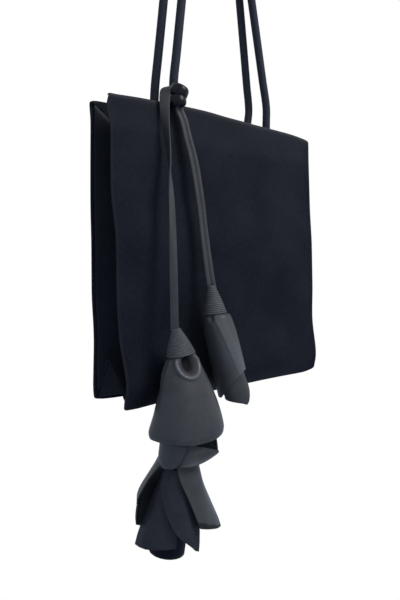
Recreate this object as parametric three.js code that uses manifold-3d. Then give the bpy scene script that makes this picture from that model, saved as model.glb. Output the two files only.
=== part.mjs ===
// Satin handbag with two cord handles and a tied leather flower charm.
// Millimetres, +Z up, +X to the right, the front panel faces -Y. The bag hangs from its handles:
// the origin is the point where a hook bears, under the tops of both handle loops.
import * as THREE from "three";
import { mergeVertices } from "three/addons/utils/BufferGeometryUtils.js";
import Module from "manifold-3d";

const wasm = await Module();
wasm.setup();

// Satin body
const bodyWidth = 250;
const bodyHeight = 258;
const bottomCurl = 7;
const curlHeight = 20;
const panelThickness = 2.4;
const cornerDroop = 4;
const cornerRounding = 2;
const seamGap = 0.3;

// Rows up the body: height, half depth and half width at the edges of the panels.
const bodyRows = [
  [0, 27.5, 121.5],
  [8, 28.5, 122.5],
  [20, 28.5, 122.5],
  [36, 25.5, 123.3],
  [48, 22.6, 124.2],
  [62, 21.2, 124.8],
  [90, 21.2, 125.8],
  [140, 21, 124.8],
  [153, 19.7, 125.5],
  [166, 18.2, 126.2],
  [178, 17.2, 126.5],
  [205, 17, 125.8],
  [240, 17, 124.5],
  [258, 17, 124.5],
];

// Folded sides and base
const gussetHalfWidth = 45;
const gussetThickness = 1.2;
const gussetScoop = 40;
const gussetEdgeInset = 2;
const baseThickness = 1.6;
const baseRidgeHeight = 35.2;
const tuckRidgeHeight = 38.6;
const tuckRidgeRise = 3;
const ridgeEndInset = 1.3;

// Inside of the mouth
const facingDepth = 32;
const facingThickness = 1;
const facingSideInset = 14;
const liningThickness = 0.8;
const liningGap = 0.4;
const liningBottomGap = 6.4;
const tabWidth = 22;
const tabHeight = 24;
const tabThickness = 1.2;

// Cord handles
const cordDiameter = 8;
const handleDrop = 300;
const frontHandle = { left: -55.4, right: 64.9, topMiddle: 0, topRadius: 17 };
const backHandle = { left: -63.1, right: 59, topMiddle: -4.5, topRadius: 26 };
const cordRootRise = 22;
const cordRootDepth = 27;
const cordSides = 8;

// Charm: thong loop, knot and straps
const thongThickness = 1.8;
const loopBandHeight = 6;
const loopHeight = 5.5;
const knotWidth = 17;
const knotHeight = 19;
const longStrapWidth = 6.8;
const longStrapDrop = 191.7;
const longStrapDrift = -12.8;
const longStrapReach = -23.4;
const shortStrapWidth = 8;
const shortStrapDrop = 147.8;
const shortStrapDrift = 21.8;
const shortStrapReach = -12.8;
const strapGrooveWidth = 0.9;
const knotOffset = 6.9;
const knotRise = 3.6;
const pivotGap = 0.3;

// Charm: bindings
const threadDiameter = 1.4;
const threadPitch = 1.95;
const threadTurns = 12;
const bindingTopRadius = 3.6;
const longBindingRadius = 12.3;
const shortBindingRadius = 10.6;
const stepsPerTurn = 14;

// Charm: leather petals
const leather = 1.2;
const layerStep = 1.9;
const depthShare = 0.8;
const bellLength = 70;
const bellRadius = 34;
const eyeletWidth = 14;
const eyeletHeight = 15;
const stemRadius = 6;
const stemLength = 84;
const collarRise = 20;
const collarFoot = 0.8;
const collarLean = 2;
const collarFlare = 14;
const coreRadius = 15.3;
const coreTopRadius = 8.6;
const coreLength = 71;
const coreRimRounding = 2;
const coreRecess = 14;
const rollRadius = 14.6;
const rollLength = 78;
const rollFlare = 6;

const overrun = 4;
const weld = 1e-4;
const roundSides = 24;

const satin = { color: 0x191d26, roughness: 0.62, metalness: 0 };
const liningCloth = { color: 0x23262e, roughness: 0.7, metalness: 0 };
const cordCloth = { color: 0x2c2e36, roughness: 0.75, metalness: 0 };
const charmLeather = { color: 0x3a3c40, roughness: 0.5, metalness: 0 };
const knotLeather = { color: 0x24262a, roughness: 0.3, metalness: 0 };
const waxedThread = { color: 0x45474a, roughness: 0.6, metalness: 0 };

const degrees = Math.PI / 180;
const vec = (x, y, z) => new THREE.Vector3(x, y, z);
const clamp = (x) => Math.min(1, Math.max(0, x));
const ease = (x) => clamp(x) ** 2 * (3 - 2 * clamp(x));

// Geometry helpers

function indexed(geometry) {
  const plain = geometry.clone();
  plain.deleteAttribute("normal");
  plain.deleteAttribute("uv");
  return mergeVertices(plain, weld);
}

function solidOf(geometry) {
  const merged = indexed(geometry);
  const mesh = new wasm.Mesh({
    numProp: 3,
    vertProperties: merged.attributes.position.array,
    triVerts: new Uint32Array(merged.index.array),
  });
  return new wasm.Manifold(mesh);
}

function geometryOf(solid) {
  const mesh = solid.getMesh();
  const count = mesh.numProp;
  const positions = [];
  for (let i = 0; i < mesh.numVert; i += 1)
    positions.push(...mesh.vertProperties.slice(i * count, i * count + 3));
  return bodyFrom(positions, [...mesh.triVerts]);
}

function bodyFrom(positions, index) {
  const geometry = new THREE.BufferGeometry();
  geometry.setAttribute("position", new THREE.Float32BufferAttribute(positions, 3));
  geometry.setIndex(index);
  geometry.computeVertexNormals();
  return geometry;
}

const join = (...pieces) => geometryOf(pieces.map(solidOf).reduce((a, b) => a.add(b)));
const cut = (body, ...tools) =>
  geometryOf(tools.map(solidOf).reduce((a, b) => a.subtract(b), solidOf(body)));

// Turns a closed surface right side out.
function outward(positions, index) {
  let volume = 0;
  const corner = (k) => vec(...positions.slice(index[k] * 3, index[k] * 3 + 3));
  for (let k = 0; k < index.length; k += 3)
    volume += corner(k).dot(corner(k + 1).cross(corner(k + 2)));
  if (volume < 0) index.reverse();
  return bodyFrom(positions, index);
}

// A sheet of even thickness about the middle surface at(u, v), with u and v from 0 to 1.
function sheet(at, columns, rows, thickness) {
  const positions = [];
  const index = [];
  const stride = columns + 1;
  const layer = stride * (rows + 1);
  const small = 1e-3;
  const slope = (step) => (u, v) => {
    const [du, dv] = step;
    const ahead = at(clamp(u + du), clamp(v + dv));
    return ahead.sub(at(clamp(u - du), clamp(v - dv)));
  };
  const across = slope([small, 0]);
  const along = slope([0, small]);
  for (const side of [0.5, -0.5])
    for (let j = 0; j <= rows; j += 1)
      for (let i = 0; i <= columns; i += 1) {
        const u = i / columns;
        const v = j / rows;
        const normal = across(u, v).cross(along(u, v)).normalize();
        positions.push(...at(u, v).addScaledVector(normal, side * thickness));
      }
  const quad = (a, b, c, d) => index.push(a, b, c, a, c, d);
  for (let j = 0; j < rows; j += 1)
    for (let i = 0; i < columns; i += 1) {
      const a = j * stride + i;
      const corners = [a, a + 1, a + 1 + stride, a + stride];
      quad(...corners);
      quad(...corners.map((k) => k + layer).reverse());
    }
  const rim = [];
  for (let i = 0; i < columns; i += 1) rim.push(i);
  for (let j = 0; j < rows; j += 1) rim.push(j * stride + columns);
  for (let i = columns; i > 0; i -= 1) rim.push(rows * stride + i);
  for (let j = rows; j > 0; j -= 1) rim.push(j * stride);
  rim.forEach((a, k) => {
    const b = rim[(k + 1) % rim.length];
    quad(a + layer, b + layer, b, a);
  });
  return outward(positions, index);
}

function circle(radius, sides) {
  const shape = new THREE.Shape();
  for (let k = 0; k < sides; k += 1) {
    const angle = (2 * Math.PI * k) / sides;
    const point = [radius * Math.cos(angle), radius * Math.sin(angle)];
    if (k === 0) shape.moveTo(...point);
    else shape.lineTo(...point);
  }
  shape.closePath();
  return shape;
}

function tube(curve, radius, sides, steps) {
  return new THREE.ExtrudeGeometry(circle(radius, sides), { steps, extrudePath: curve });
}

function rod(start, end, radius, sides = cordSides) {
  return tube(new THREE.LineCurve3(start, end), radius, sides, 1);
}

function lathe(profile, segments = roundSides) {
  const points = profile.map(([radius, height]) => new THREE.Vector2(radius, height));
  const turned = new THREE.LatheGeometry(points, segments).rotateX(90 * degrees);
  const merged = indexed(turned);
  return outward([...merged.attributes.position.array], [...merged.index.array]);
}

function ellipsoid(halfX, halfY, halfZ, rows = 8) {
  const ball = new THREE.SphereGeometry(1, 2 * rows, rows);
  return ball.scale(halfX, halfY, halfZ);
}

// Shape of the satin body

// A value of the body's table at a height: column 1 is the half depth, column 2 the half width.
function rowValue(z, column) {
  const found = bodyRows.findIndex(([height]) => height > z);
  const next = found < 1 ? bodyRows.length - 1 : found;
  const [below, above] = bodyRows.slice(next - 1, next + 1);
  const share = clamp((z - below[0]) / (above[0] - below[0]));
  return below[column] + (above[column] - below[column]) * share;
}

// The foot of a panel turns in along its middle; share is the place across it, 1 at the edges.
function outerHalfDepth(z, share = 1) {
  const curl = bottomCurl * Math.max(0, 1 - z / curlHeight) ** 2;
  return rowValue(z, 1) - curl * (1 - share ** 4);
}

const innerHalfDepth = (z, share = 1) => outerHalfDepth(z, share) - panelThickness;
const halfWidth = (z) => rowValue(z, 2);

// The heights of a sheet's rows: its two ends and the body's rows between them.
function rowHeights(low, high) {
  const between = bodyRows.map(([z]) => z).filter((z) => z > low + seamGap && z < high - seamGap);
  return [low, ...between, high];
}

function heightAt(heights, share) {
  const place = clamp(share) * (heights.length - 1);
  const step = Math.min(Math.floor(place), heights.length - 2);
  return heights[step] + (heights[step + 1] - heights[step]) * (place - step);
}

const topEdge = (x) => bodyHeight - cornerDroop * (x / (bodyWidth / 2)) ** 2;
const cornerHeight = bodyHeight - cornerDroop;

function panel(side) {
  return sheet(
    (u, v) => {
      const share = 2 * u - 1;
      const bottom = cornerRounding * Math.abs(share) ** roundSides;
      const z = heightAt(rowHeights(bottom, topEdge((share * bodyWidth) / 2)), v);
      const depth = outerHalfDepth(z, share) - panelThickness / 2;
      return vec(share * halfWidth(z), side * depth, z);
    },
    12,
    bodyRows.length - 1,
    panelThickness,
  );
}

// Where a gusset meets a panel, its pleat crease, and the corner and ridge of the tucked triangle.
const gussetSeamDepth = (z) => innerHalfDepth(z) - seamGap - gussetThickness / 2;
const gussetSeam = (z) => vec(halfWidth(z) - gussetEdgeInset, gussetSeamDepth(z), z);

function creaseDistance(z) {
  return bodyWidth / 2 - Math.sqrt(gussetHalfWidth ** 2 - innerHalfDepth(z) ** 2);
}

const tuckCornerHeight = tuckRidgeHeight - baseRidgeHeight + gussetThickness;
const tuckCorner = gussetSeam(tuckCornerHeight);
const tuckApexHeight = tuckRidgeHeight + tuckRidgeRise;
const tuckApex = vec(creaseDistance(tuckApexHeight), 0, tuckApexHeight);
const ridgeEnd = vec(bodyWidth / 2 - ridgeEndInset, 0, tuckRidgeHeight);

function gussetInner(z) {
  if (z > tuckApexHeight) return vec(creaseDistance(z), 0, z);
  const share = (z - tuckCornerHeight) / (tuckApexHeight - tuckCornerHeight);
  return tuckCorner.clone().lerp(tuckApex, share);
}

const mirrored = (point, sideX, sideY) => vec(sideX * point.x, sideY * point.y, point.z);

function gussetHalf(sideX, sideY) {
  const top = cornerHeight - seamGap;
  const low = rowHeights(tuckCornerHeight + gussetThickness, tuckApexHeight);
  const heights = [...low, ...rowHeights(tuckApexHeight, top).slice(1)];
  return sheet(
    (u, v) => {
      const height = heightAt(heights, v);
      const rise = Math.max(0, height - tuckApexHeight) / (top - tuckApexHeight);
      const z = height - rise * gussetScoop * u ** 1.3;
      return mirrored(gussetSeam(z).lerp(gussetInner(z), u), sideX, sideY);
    },
    3,
    heights.length - 1,
    gussetThickness,
  );
}

function tuckHalf(sideX, sideY) {
  const lowestShare = 0.06;
  return sheet(
    (u, v) => {
      const reach = lowestShare + (1 - lowestShare) * v;
      const outer = tuckCorner.clone().lerp(ridgeEnd, reach);
      const inner = tuckCorner.clone().lerp(tuckApex, reach);
      return mirrored(outer.lerp(inner, u), sideX, sideY);
    },
    2,
    3,
    gussetThickness,
  );
}

function gusset(sideX) {
  const bead = gussetThickness / 2;
  const creaseTop = cornerHeight - seamGap - gussetScoop;
  const crease = new THREE.CatmullRomCurve3(
    rowHeights(tuckApexHeight, creaseTop).map((z) =>
      mirrored(vec(creaseDistance(z), 0, z), sideX, 1),
    ),
  );
  const apex = mirrored(tuckApex, sideX, 1);
  return join(
    gussetHalf(sideX, -1),
    gussetHalf(sideX, 1),
    tuckHalf(sideX, -1),
    tuckHalf(sideX, 1),
    tube(crease, bead, 5, 12),
    rod(apex, mirrored(ridgeEnd, sideX, 1), bead, 6),
    rod(apex, apex.clone().lerp(mirrored(tuckCorner, sideX, -1), 0.94), bead, 6),
    rod(apex, apex.clone().lerp(mirrored(tuckCorner, sideX, 1), 0.94), bead, 6),
  );
}

function basePanel() {
  const edge = baseThickness / 2;
  const frontEdge = (share) => innerHalfDepth(0, share) - seamGap - edge;
  const halfAt = (z) => {
    const share = z / baseRidgeHeight;
    return halfWidth(0) - gussetThickness + (ridgeEnd.x - halfWidth(0)) * share;
  };
  const half = (side) =>
    sheet(
      (u, v) => {
        const share = 2 * u - 1;
        const z = edge + (baseRidgeHeight - edge) * v;
        return vec(share * halfAt(z), side * frontEdge(share) * (1 - v), z);
      },
      8,
      2,
      baseThickness,
    );
  const ridge = halfAt(baseRidgeHeight);
  return join(
    half(-1),
    half(1),
    rod(vec(-ridge, 0, baseRidgeHeight), vec(ridge, 0, baseRidgeHeight), edge, 6),
  );
}

// A flat layer inside a panel: the hem facing above, the lining below it.
function innerLayer(side, low, high, thickness, gap) {
  const place = (share, z) => (share * (halfWidth(z) - facingSideInset)) / halfWidth(z);
  return sheet(
    (u, v) => {
      const share = 2 * u - 1;
      const z = heightAt(rowHeights(low, high(share * (bodyWidth / 2))), v);
      const depth = innerHalfDepth(z, place(share, z)) - gap - thickness / 2;
      return vec(place(share, z) * halfWidth(z), side * depth, z);
    },
    10,
    rowHeights(low, high(0)).length - 1,
    thickness,
  );
}

const facingBottom = cornerHeight - facingDepth;

function facing(side) {
  const top = (x) => topEdge(x) - seamGap;
  return innerLayer(side, facingBottom, top, facingThickness, seamGap);
}

function lining(side) {
  const low = baseThickness + liningBottomGap;
  const high = () => facingBottom - seamGap;
  return innerLayer(side, low, high, liningThickness, liningGap);
}

// Cord handles: each leg is sewn under a tab on the facing and bends just above the mouth.
const cordRadius = cordDiameter / 2;
const facingInner = innerHalfDepth(bodyHeight) - seamGap - facingThickness;
const cordDepth = facingInner - seamGap - cordRadius;
const cordPivot = bodyHeight + cordRootRise;
const loopTop = bodyHeight + handleDrop;
const loopTopDepth = cordRadius + seamGap / 2;

// The front handle sits a little to the right of the back one.
const handleOf = (sideY) => (sideY < 0 ? frontHandle : backHandle);
const legX = (sideX, sideY) => (sideX < 0 ? handleOf(sideY).left : handleOf(sideY).right);

function cordRoot(sideX, sideY) {
  const foot = vec(legX(sideX, sideY), sideY * cordDepth, bodyHeight - cordRootDepth);
  const head = foot.clone().setZ(cordPivot - pivotGap / 2);
  return rod(foot, head, cordRadius, 10);
}

function handleLoop(side) {
  const { topMiddle, topRadius: radius } = handleOf(side);
  const leg = (share, sideX) => {
    const foot = vec(legX(sideX, side), side * cordDepth, cordPivot);
    const inner = topMiddle + sideX * radius;
    return foot.lerp(vec(inner, side * loopTopDepth, loopTop - radius), share);
  };
  const arc = (angle) =>
    vec(
      topMiddle + radius * Math.cos(angle),
      side * loopTopDepth,
      loopTop - radius + radius * Math.sin(angle),
    );
  const legShares = [-0.02, 0.1, 0.3, 0.5, 0.7, 0.88];
  const points = [
    ...legShares.map((share) => leg(share, -1)),
    ...[180, 135, 90, 45, 0].map((angle) => arc(angle * degrees)),
    ...legShares.map((share) => leg(share, 1)).reverse(),
  ];
  const curve = new THREE.CatmullRomCurve3(points);
  const body = tube(curve, cordRadius, cordSides, 36);
  const below = new THREE.BoxGeometry(bodyWidth, cordDiameter * 4, cordDiameter * 2);
  const top = cordPivot + pivotGap / 2;
  return cut(body, below.translate(0, side * cordDepth, top - cordDiameter));
}

// A sewn tab with a channel that holds the end of a cord.
function cordTab(sideX, sideY) {
  const channel = cordRadius + seamGap;
  const outerRadius = channel + tabThickness;
  const wing = tabWidth / 2;
  const crown = cordRadius + seamGap;
  const shape = new THREE.Shape();
  shape.moveTo(-wing, 0);
  shape.lineTo(-channel, 0);
  shape.lineTo(-channel, crown);
  shape.absarc(0, crown, channel, Math.PI, 0, true);
  shape.lineTo(channel, 0);
  shape.lineTo(wing, 0);
  shape.lineTo(wing, tabThickness);
  shape.lineTo(outerRadius, tabThickness);
  shape.lineTo(outerRadius, crown);
  shape.absarc(0, crown, outerRadius, 0, Math.PI, false);
  shape.lineTo(-outerRadius, tabThickness);
  shape.lineTo(-wing, tabThickness);
  shape.closePath();
  const options = { depth: tabHeight, bevelEnabled: false, curveSegments: 4 };
  const tab = new THREE.ExtrudeGeometry(shape, options);
  if (sideY > 0) tab.rotateZ(Math.PI);
  const face = facingInner - seamGap;
  const foot = bodyHeight - cordRootDepth - seamGap;
  return tab.translate(legX(sideX, sideY), sideY * face, foot);
}

// Charm: the thong is looped round the front left cord and knotted in front of the panel.
const charmX = legX(-1, -1);
const loopInner = cordRadius + seamGap;
const knotCentre = vec(
  charmX - knotOffset,
  -outerHalfDepth(bodyHeight) - knotWidth / 2,
  bodyHeight + knotRise,
);

// A place beside the knot, in shares of its width, depth and height from its middle.
const nearKnot = ([across, out, up]) =>
  knotCentre.clone().add(vec(across * knotWidth, out * knotWidth, up * knotHeight));

function charmLoop() {
  const outer = loopInner + thongThickness;
  const front = knotCentre.y + knotWidth * 0.441 + seamGap;
  const bandLength = -cordDepth - front;
  const outline = (radius) => {
    const shape = new THREE.Shape();
    shape.moveTo(radius, 0);
    shape.absarc(0, 0, radius, 0, Math.PI, false);
    shape.lineTo(-radius, -bandLength);
    shape.lineTo(radius, -bandLength);
    shape.closePath();
    return shape;
  };
  const shape = outline(outer);
  const hole = new THREE.Path();
  hole.moveTo(loopInner, 0);
  hole.absarc(0, 0, loopInner, 0, Math.PI, false);
  hole.lineTo(-loopInner, thongThickness - bandLength);
  hole.lineTo(loopInner, thongThickness - bandLength);
  hole.closePath();
  shape.holes.push(hole);
  const options = { depth: loopBandHeight, bevelEnabled: false, curveSegments: 8 };
  const band = new THREE.ExtrudeGeometry(shape, options);
  return band.translate(charmX, -cordDepth, bodyHeight + loopHeight - loopBandHeight / 2);
}

// An overhand knot: a thick turn of thong over a second one, drawn into a squat bead.
function charmKnot() {
  const lobe = (shareX, shareZ, wide, deep, tall, tilt) => {
    const body = ellipsoid(wide * knotWidth, deep * knotWidth, tall * knotHeight, 6);
    body.rotateY(tilt * degrees);
    return body.translate(shareX * knotWidth, 0, shareZ * knotHeight);
  };
  const knot = join(
    lobe(0.04, 0.22, 0.46, 0.44, 0.3, 20),
    lobe(0, -0.22, 0.42, 0.46, 0.29, -12),
    lobe(-0.1, 0.02, 0.34, 0.48, 0.36, 0),
  );
  return knot.translate(knotCentre.x, knotCentre.y, knotCentre.z);
}

// A flat thong along a curve; turn(share) gives the bearing of its width in degrees.
function thong(points, turn, width, rows, thickness = thongThickness, columns = 1) {
  const curve = new THREE.CatmullRomCurve3(points);
  return sheet(
    (u, v) => {
      const bearing = turn(v) * degrees;
      const across = vec(Math.cos(bearing), Math.sin(bearing), 0);
      return curve.getPoint(v).addScaledVector(across, (u - 0.5) * width);
    },
    columns,
    rows,
    thickness,
  );
}

const longTopBearing = 138;
const longPivot = nearKnot([-0.665, 0.18, -0.03]);
const longSpan = vec(longStrapDrift, longStrapReach, -longStrapDrop);
const longFlowerPivot = longPivot.clone().add(longSpan);
const shortSpan = vec(shortStrapDrift, shortStrapReach, -shortStrapDrop);
const shortPivot = nearKnot([0.124, 0.147, -0.485]);
shortPivot.z -= pivotGap + thongThickness / 2;
const shortFlowerPivot = shortPivot.clone().add(shortSpan);

// Places on a strap, each in shares of the way that its foot lies aside, out and down.
const strapPoints = (top, span, shares) =>
  shares.map((share) => top.clone().add(span.clone().multiply(vec(...share))));

function longStrapBend() {
  const end = longPivot.clone();
  end.z += thongThickness / 2 + pivotGap;
  const bendShares = [
    [0.06, 0.12, 0.605],
    [-0.42, 0.11, 0.574],
    [-0.653, 0.19, 0.274],
  ];
  const turn = (share) => longTopBearing - 80 * (1 - ease(share * 1.3));
  return thong([...bendShares.map(nearKnot), end], turn, longStrapWidth, 10);
}

// A round edge along the top of a strap, on which the strap lifts.
function liftEdge(centre, bearing, width) {
  const across = vec(Math.cos(bearing * degrees), Math.sin(bearing * degrees), 0);
  const half = across.multiplyScalar(width / 2);
  return rod(centre.clone().sub(half), centre.clone().add(half), thongThickness / 2);
}

// A round end that lets the flower below swing about the strap's foot.
function thongEnd(centre, bearing, width) {
  const normal = vec(-Math.sin(bearing * degrees), Math.cos(bearing * degrees), 0);
  const half = normal.multiplyScalar(thongThickness / 2);
  return rod(centre.clone().sub(half), centre.clone().add(half), width / 2, 16);
}

// The long strap turns over once on its way down, by half a turn.
function longStrap() {
  const points = strapPoints(longPivot, longSpan, [
    [0, 0, 0],
    [0.13, 0.07, 0.115],
    [0.07, 0.17, 0.245],
    [0.23, 0.35, 0.38],
    [0.47, 0.58, 0.56],
    [0.68, 0.75, 0.73],
    [1, 1, 1],
  ]);
  const turn = (share) => longTopBearing - 178 * ease((share - 0.08) / 0.6);
  return join(
    thong(points, turn, longStrapWidth, 24),
    liftEdge(longPivot, turn(0), longStrapWidth),
    thongEnd(longFlowerPivot, turn(1), longStrapWidth),
  );
}

// Two plies lie side by side with a groove between them.
function shortStrap() {
  const points = strapPoints(shortPivot, shortSpan, [
    [0, 0, 0],
    [0.16, 0.07, 0.053],
    [0.35, 0.17, 0.167],
    [0.55, 0.28, 0.282],
    [0.76, 0.51, 0.52],
    [0.87, 0.73, 0.756],
    [1, 1, 1],
  ]);
  const turn = () => 0;
  const ply = (shift) => {
    const moved = points.map((point) => point.clone().add(vec(shift, 0, 0)));
    return thong(moved, turn, (shortStrapWidth - strapGrooveWidth) / 2, 14);
  };
  const shift = (shortStrapWidth + strapGrooveWidth) / 4;
  const web = thong(points, turn, strapGrooveWidth * 2, 14, thongThickness / 2);
  const top = liftEdge(shortPivot, turn(), shortStrapWidth);
  const end = thongEnd(shortFlowerPivot, turn(), shortStrapWidth);
  return join(ply(-shift), ply(shift), web, top, end);
}

// Bindings: one thread wound round the gathered tops of the petals.
const bindingLength = threadTurns * threadPitch;

function bindingCore(endRadius) {
  const inset = threadDiameter + seamGap;
  const top = bindingTopRadius - inset;
  const bottom = endRadius - inset;
  return lathe(
    [
      [0, 0],
      [top, 0],
      [top + (bottom - top) * 0.55, -bindingLength * 0.5],
      [bottom, -bindingLength],
      [0, -bindingLength],
    ],
    16,
  );
}

class Winding extends THREE.Curve {
  constructor(endRadius) {
    super();
    this.endRadius = endRadius;
  }
  getPoint(share) {
    const lead = threadDiameter / 2;
    const depth = lead + (bindingLength - threadDiameter) * share;
    const inset = threadDiameter / 2;
    const top = bindingTopRadius - inset;
    const bottom = this.endRadius - inset;
    const middle = top + (bottom - top) * 0.55;
    const fall = depth / bindingLength;
    const low = top + (middle - top) * 2 * fall;
    const high = middle + (bottom - middle) * (2 * fall - 1);
    const radius = fall < 0.5 ? low : high;
    const angle = 2 * Math.PI * threadTurns * share;
    return vec(radius * Math.cos(angle), radius * Math.sin(angle), -depth);
  }
}

function leastGap(curve, turns) {
  const count = turns * stepsPerTurn;
  const points = curve.getPoints(count);
  let least = Infinity;
  points.forEach((a, i) => {
    for (let j = i + stepsPerTurn / 2; j <= count; j += 1)
      least = Math.min(least, a.distanceTo(points[j]));
  });
  return least - threadDiameter;
}

function bindingThread(endRadius) {
  const curve = new Winding(endRadius);
  console.log("least gap between turns", leastGap(curve, threadTurns).toFixed(2), "mm");
  return tube(curve, threadDiameter / 2, 5, threadTurns * stepsPerTurn);
}

// Each part of a flower hangs along its own lean: shares of its fall that it goes aside and out.
const lean = (aside, out) => vec(aside, out, -1).normalize();
const longBindingLean = lean(0.173, -0.065);
const bellLean = lean(0.009, -0.049);
const stemLean = lean(-0.086, -0.065);
const lowerLean = lean(-0.15, 0.053);
const shortBindingLean = lean(0.08, -0.094);
const rollLean = lean(0.19, -0.12);

// How far below a binding a piece of this radius starts, to clear the foot of the binding.
const clearOf = (upper, lower, radius) => radius * Math.sin(upper.angleTo(lower)) + seamGap;

const bellStart = clearOf(longBindingLean, bellLean, longBindingRadius);
const stemNeck = stemRadius * 0.8;

// Petals hang along -Z. Bearings are measured from the side that faces front left.
const frontBearing = -127;

function petal(form, columns = 9, rows = 5) {
  const surface = (u, v) => {
    const across = 2 * u - 1;
    const reach = v * form.edge(across);
    const middle = frontBearing + form.bearing(reach);
    const bearing = (middle + across * form.spread(reach)) * degrees;
    const radius = form.radius(reach, across);
    return vec(
      radius * Math.cos(bearing),
      (form.depth ?? 1) * radius * Math.sin(bearing),
      -form.start - form.length * reach,
    );
  };
  return sheet(surface, columns, rows, leather);
}

// The bell: one wide petal wrapped right round, its lower edge cut on a slant.
const bellTopRadius = longBindingRadius - threadDiameter / 2;

function bellRadiusAt(fall) {
  const open = 1 - (1 - clamp(fall)) ** 1.6;
  return bellTopRadius + (bellRadius - bellTopRadius) * open;
}

function bellPetal() {
  const wrap = 172;
  const deepestBearing = 35;
  const shallow = 0.87;
  const slant = 0.065;
  const wrapped = petal(
    {
      bearing: () => 0,
      spread: () => wrap,
      edge: (across) => shallow + slant * Math.cos((across * wrap - deepestBearing) * degrees),
      radius: (reach) => bellRadiusAt(reach),
      depth: depthShare,
      start: bellStart,
      length: bellLength,
    },
    26,
    7,
  );
  return cut(wrapped, eyelet());
}

// A drop-shaped hole where the wrapped leather is drawn in under the binding.
function eyelet() {
  const half = eyeletWidth / 2;
  const shape = new THREE.Shape();
  shape.moveTo(-half * 0.5, 0);
  shape.quadraticCurveTo(-half, -eyeletHeight * 0.4, -half, -eyeletHeight * 0.62);
  shape.quadraticCurveTo(-half, -eyeletHeight, 0, -eyeletHeight);
  shape.quadraticCurveTo(half, -eyeletHeight, half, -eyeletHeight * 0.62);
  shape.quadraticCurveTo(half, -eyeletHeight * 0.4, half * 0.5, 0);
  shape.closePath();
  const tool = new THREE.ExtrudeGeometry(shape, {
    depth: bellRadius - stemRadius + overrun,
    bevelEnabled: false,
    curveSegments: 4,
  });
  tool.rotateX(90 * degrees);
  tool.translate(0, -stemRadius, -bellStart - leather);
  return tool.rotateZ((frontBearing + 28 + 90) * degrees);
}

function bellUnderPetal() {
  return petal(
    {
      bearing: () => -88,
      spread: (reach) => 40 + 22 * ease(reach),
      edge: (across) => 0.9 - 0.14 * Math.abs(across) ** 3,
      radius: (reach) => bellRadiusAt(reach * 0.97) - layerStep,
      depth: depthShare,
      start: bellStart,
      length: bellLength * 0.97,
    },
    10,
    6,
  );
}

// Collar petals stand up from the waist into the mouth of the bell.
const waistRadius = coreTopRadius + 2 * seamGap + leather / 2;

function collarPetalLeft() {
  return petal({
    bearing: () => -62,
    spread: () => 70,
    edge: (across) => 1 - 0.12 * across ** 2,
    radius: (reach) => waistRadius + 3 * layerStep + collarLean * reach,
    start: collarFoot,
    length: -collarRise,
  });
}

// The right one starts over the left one and flares to its tip.
function collarPetalRight() {
  return petal({
    bearing: (reach) => 20 + 29 * reach,
    spread: (reach) => 75 - 39 * reach,
    edge: (across) => 1 - 0.1 * (1 + across),
    radius: (reach, across) => {
      const over = layerStep * (1 - ease(across * 3));
      const flare = collarFlare * ease(reach) * ease((1 + across) * 0.6);
      return waistRadius + 3 * layerStep + collarLean * reach + over + flare;
    },
    start: collarFoot,
    length: -collarRise,
  });
}

// Lower petals: bearings of the left edge at the top and the tip, of the right edge likewise, layer,
// tip radius and length as shares of the core's, edge shares at the left and the right, and how
// soon the petal flares.
const lowerPetalShares = {
  lower_petal_front_left: [-90, -82, 10, 12, 0, 1.83, 0.873, 1, 0.86, 1.1],
  lower_petal_front: [-76, 43, 42, 54, 1, 1.96, 0.845, 0.98, 1, 1.1],
  lower_petal_right: [-12, 40, 108, 100, 2, 2.5, 0.65, 0.8, 1, 1.1],
  lower_petal_back_right: [102, 112, 186, 178, 0, 1.74, 0.74, 0.84, 0.94, 1.1],
  lower_petal_back_left: [-168, -160, -92, -76, 1, 1.88, 0.73, 0.9, 1, 1],
  lower_petal_left: [-130, -120, -62, -70, 2, 2, 0.48, 0.8, 1, 1],
};

function lowerPetal([leftTop, leftTip, rightTop, rightTip, layer, tip, length, low, high, flaring]) {
  const start = waistRadius + layer * layerStep;
  const flare = coreRadius * tip - start;
  const left = (reach) => leftTop + (leftTip - leftTop) * reach;
  const right = (reach) => rightTop + (rightTip - rightTop) * reach;
  const cornerDrop = 0.06;
  return petal({
    bearing: (reach) => (left(reach) + right(reach)) / 2,
    spread: (reach) => (right(reach) - left(reach)) / 2,
    edge: (across) => low + ((high - low) * (1 + across)) / 2 - cornerDrop * across ** 6,
    radius: (reach) => start + flare * reach ** flaring,
    start: 0,
    length: coreLength * length,
  });
}

function coreRoll() {
  const wall = leather * 2;
  const inner = coreRadius - wall;
  const bud = coreRimRounding / 2 - coreLength;
  return lathe([
    [0, 0],
    [coreTopRadius, 0],
    [coreRadius * 0.86, -coreLength * 0.27],
    [coreRadius, -coreLength * 0.46],
    [coreRadius, coreRimRounding - coreLength],
    [coreRadius - coreRimRounding / 2, -coreLength],
    [inner, bud],
    [inner, coreRecess - coreLength],
    [wall, coreRecess + leather - coreLength],
    [wall, bud],
    [0, bud],
  ]);
}

// Stem between the bell's binding and the waist, with a round end that the lower flower turns on.
function longStem() {
  const start = vec(0, 0, -clearOf(longBindingLean, stemLean, stemNeck));
  const bottom = vec(0, 0, -stemLength);
  const ball = new THREE.SphereGeometry(stemNeck, 12, 8).translate(...bottom);
  return join(rod(start, bottom, stemNeck, 12), ball);
}

// Short flower: two petals rolled into a tube, the outer one cut away along a diagonal.
const rollTopRadius = shortBindingRadius - threadDiameter / 2;
const rollStart = clearOf(shortBindingLean, rollLean, shortBindingRadius);

function rollRadiusAt(fall, layer) {
  const shoulder = ease(fall * 6);
  return rollTopRadius + (rollRadius - rollTopRadius) * shoulder + layer * layerStep;
}

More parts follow.
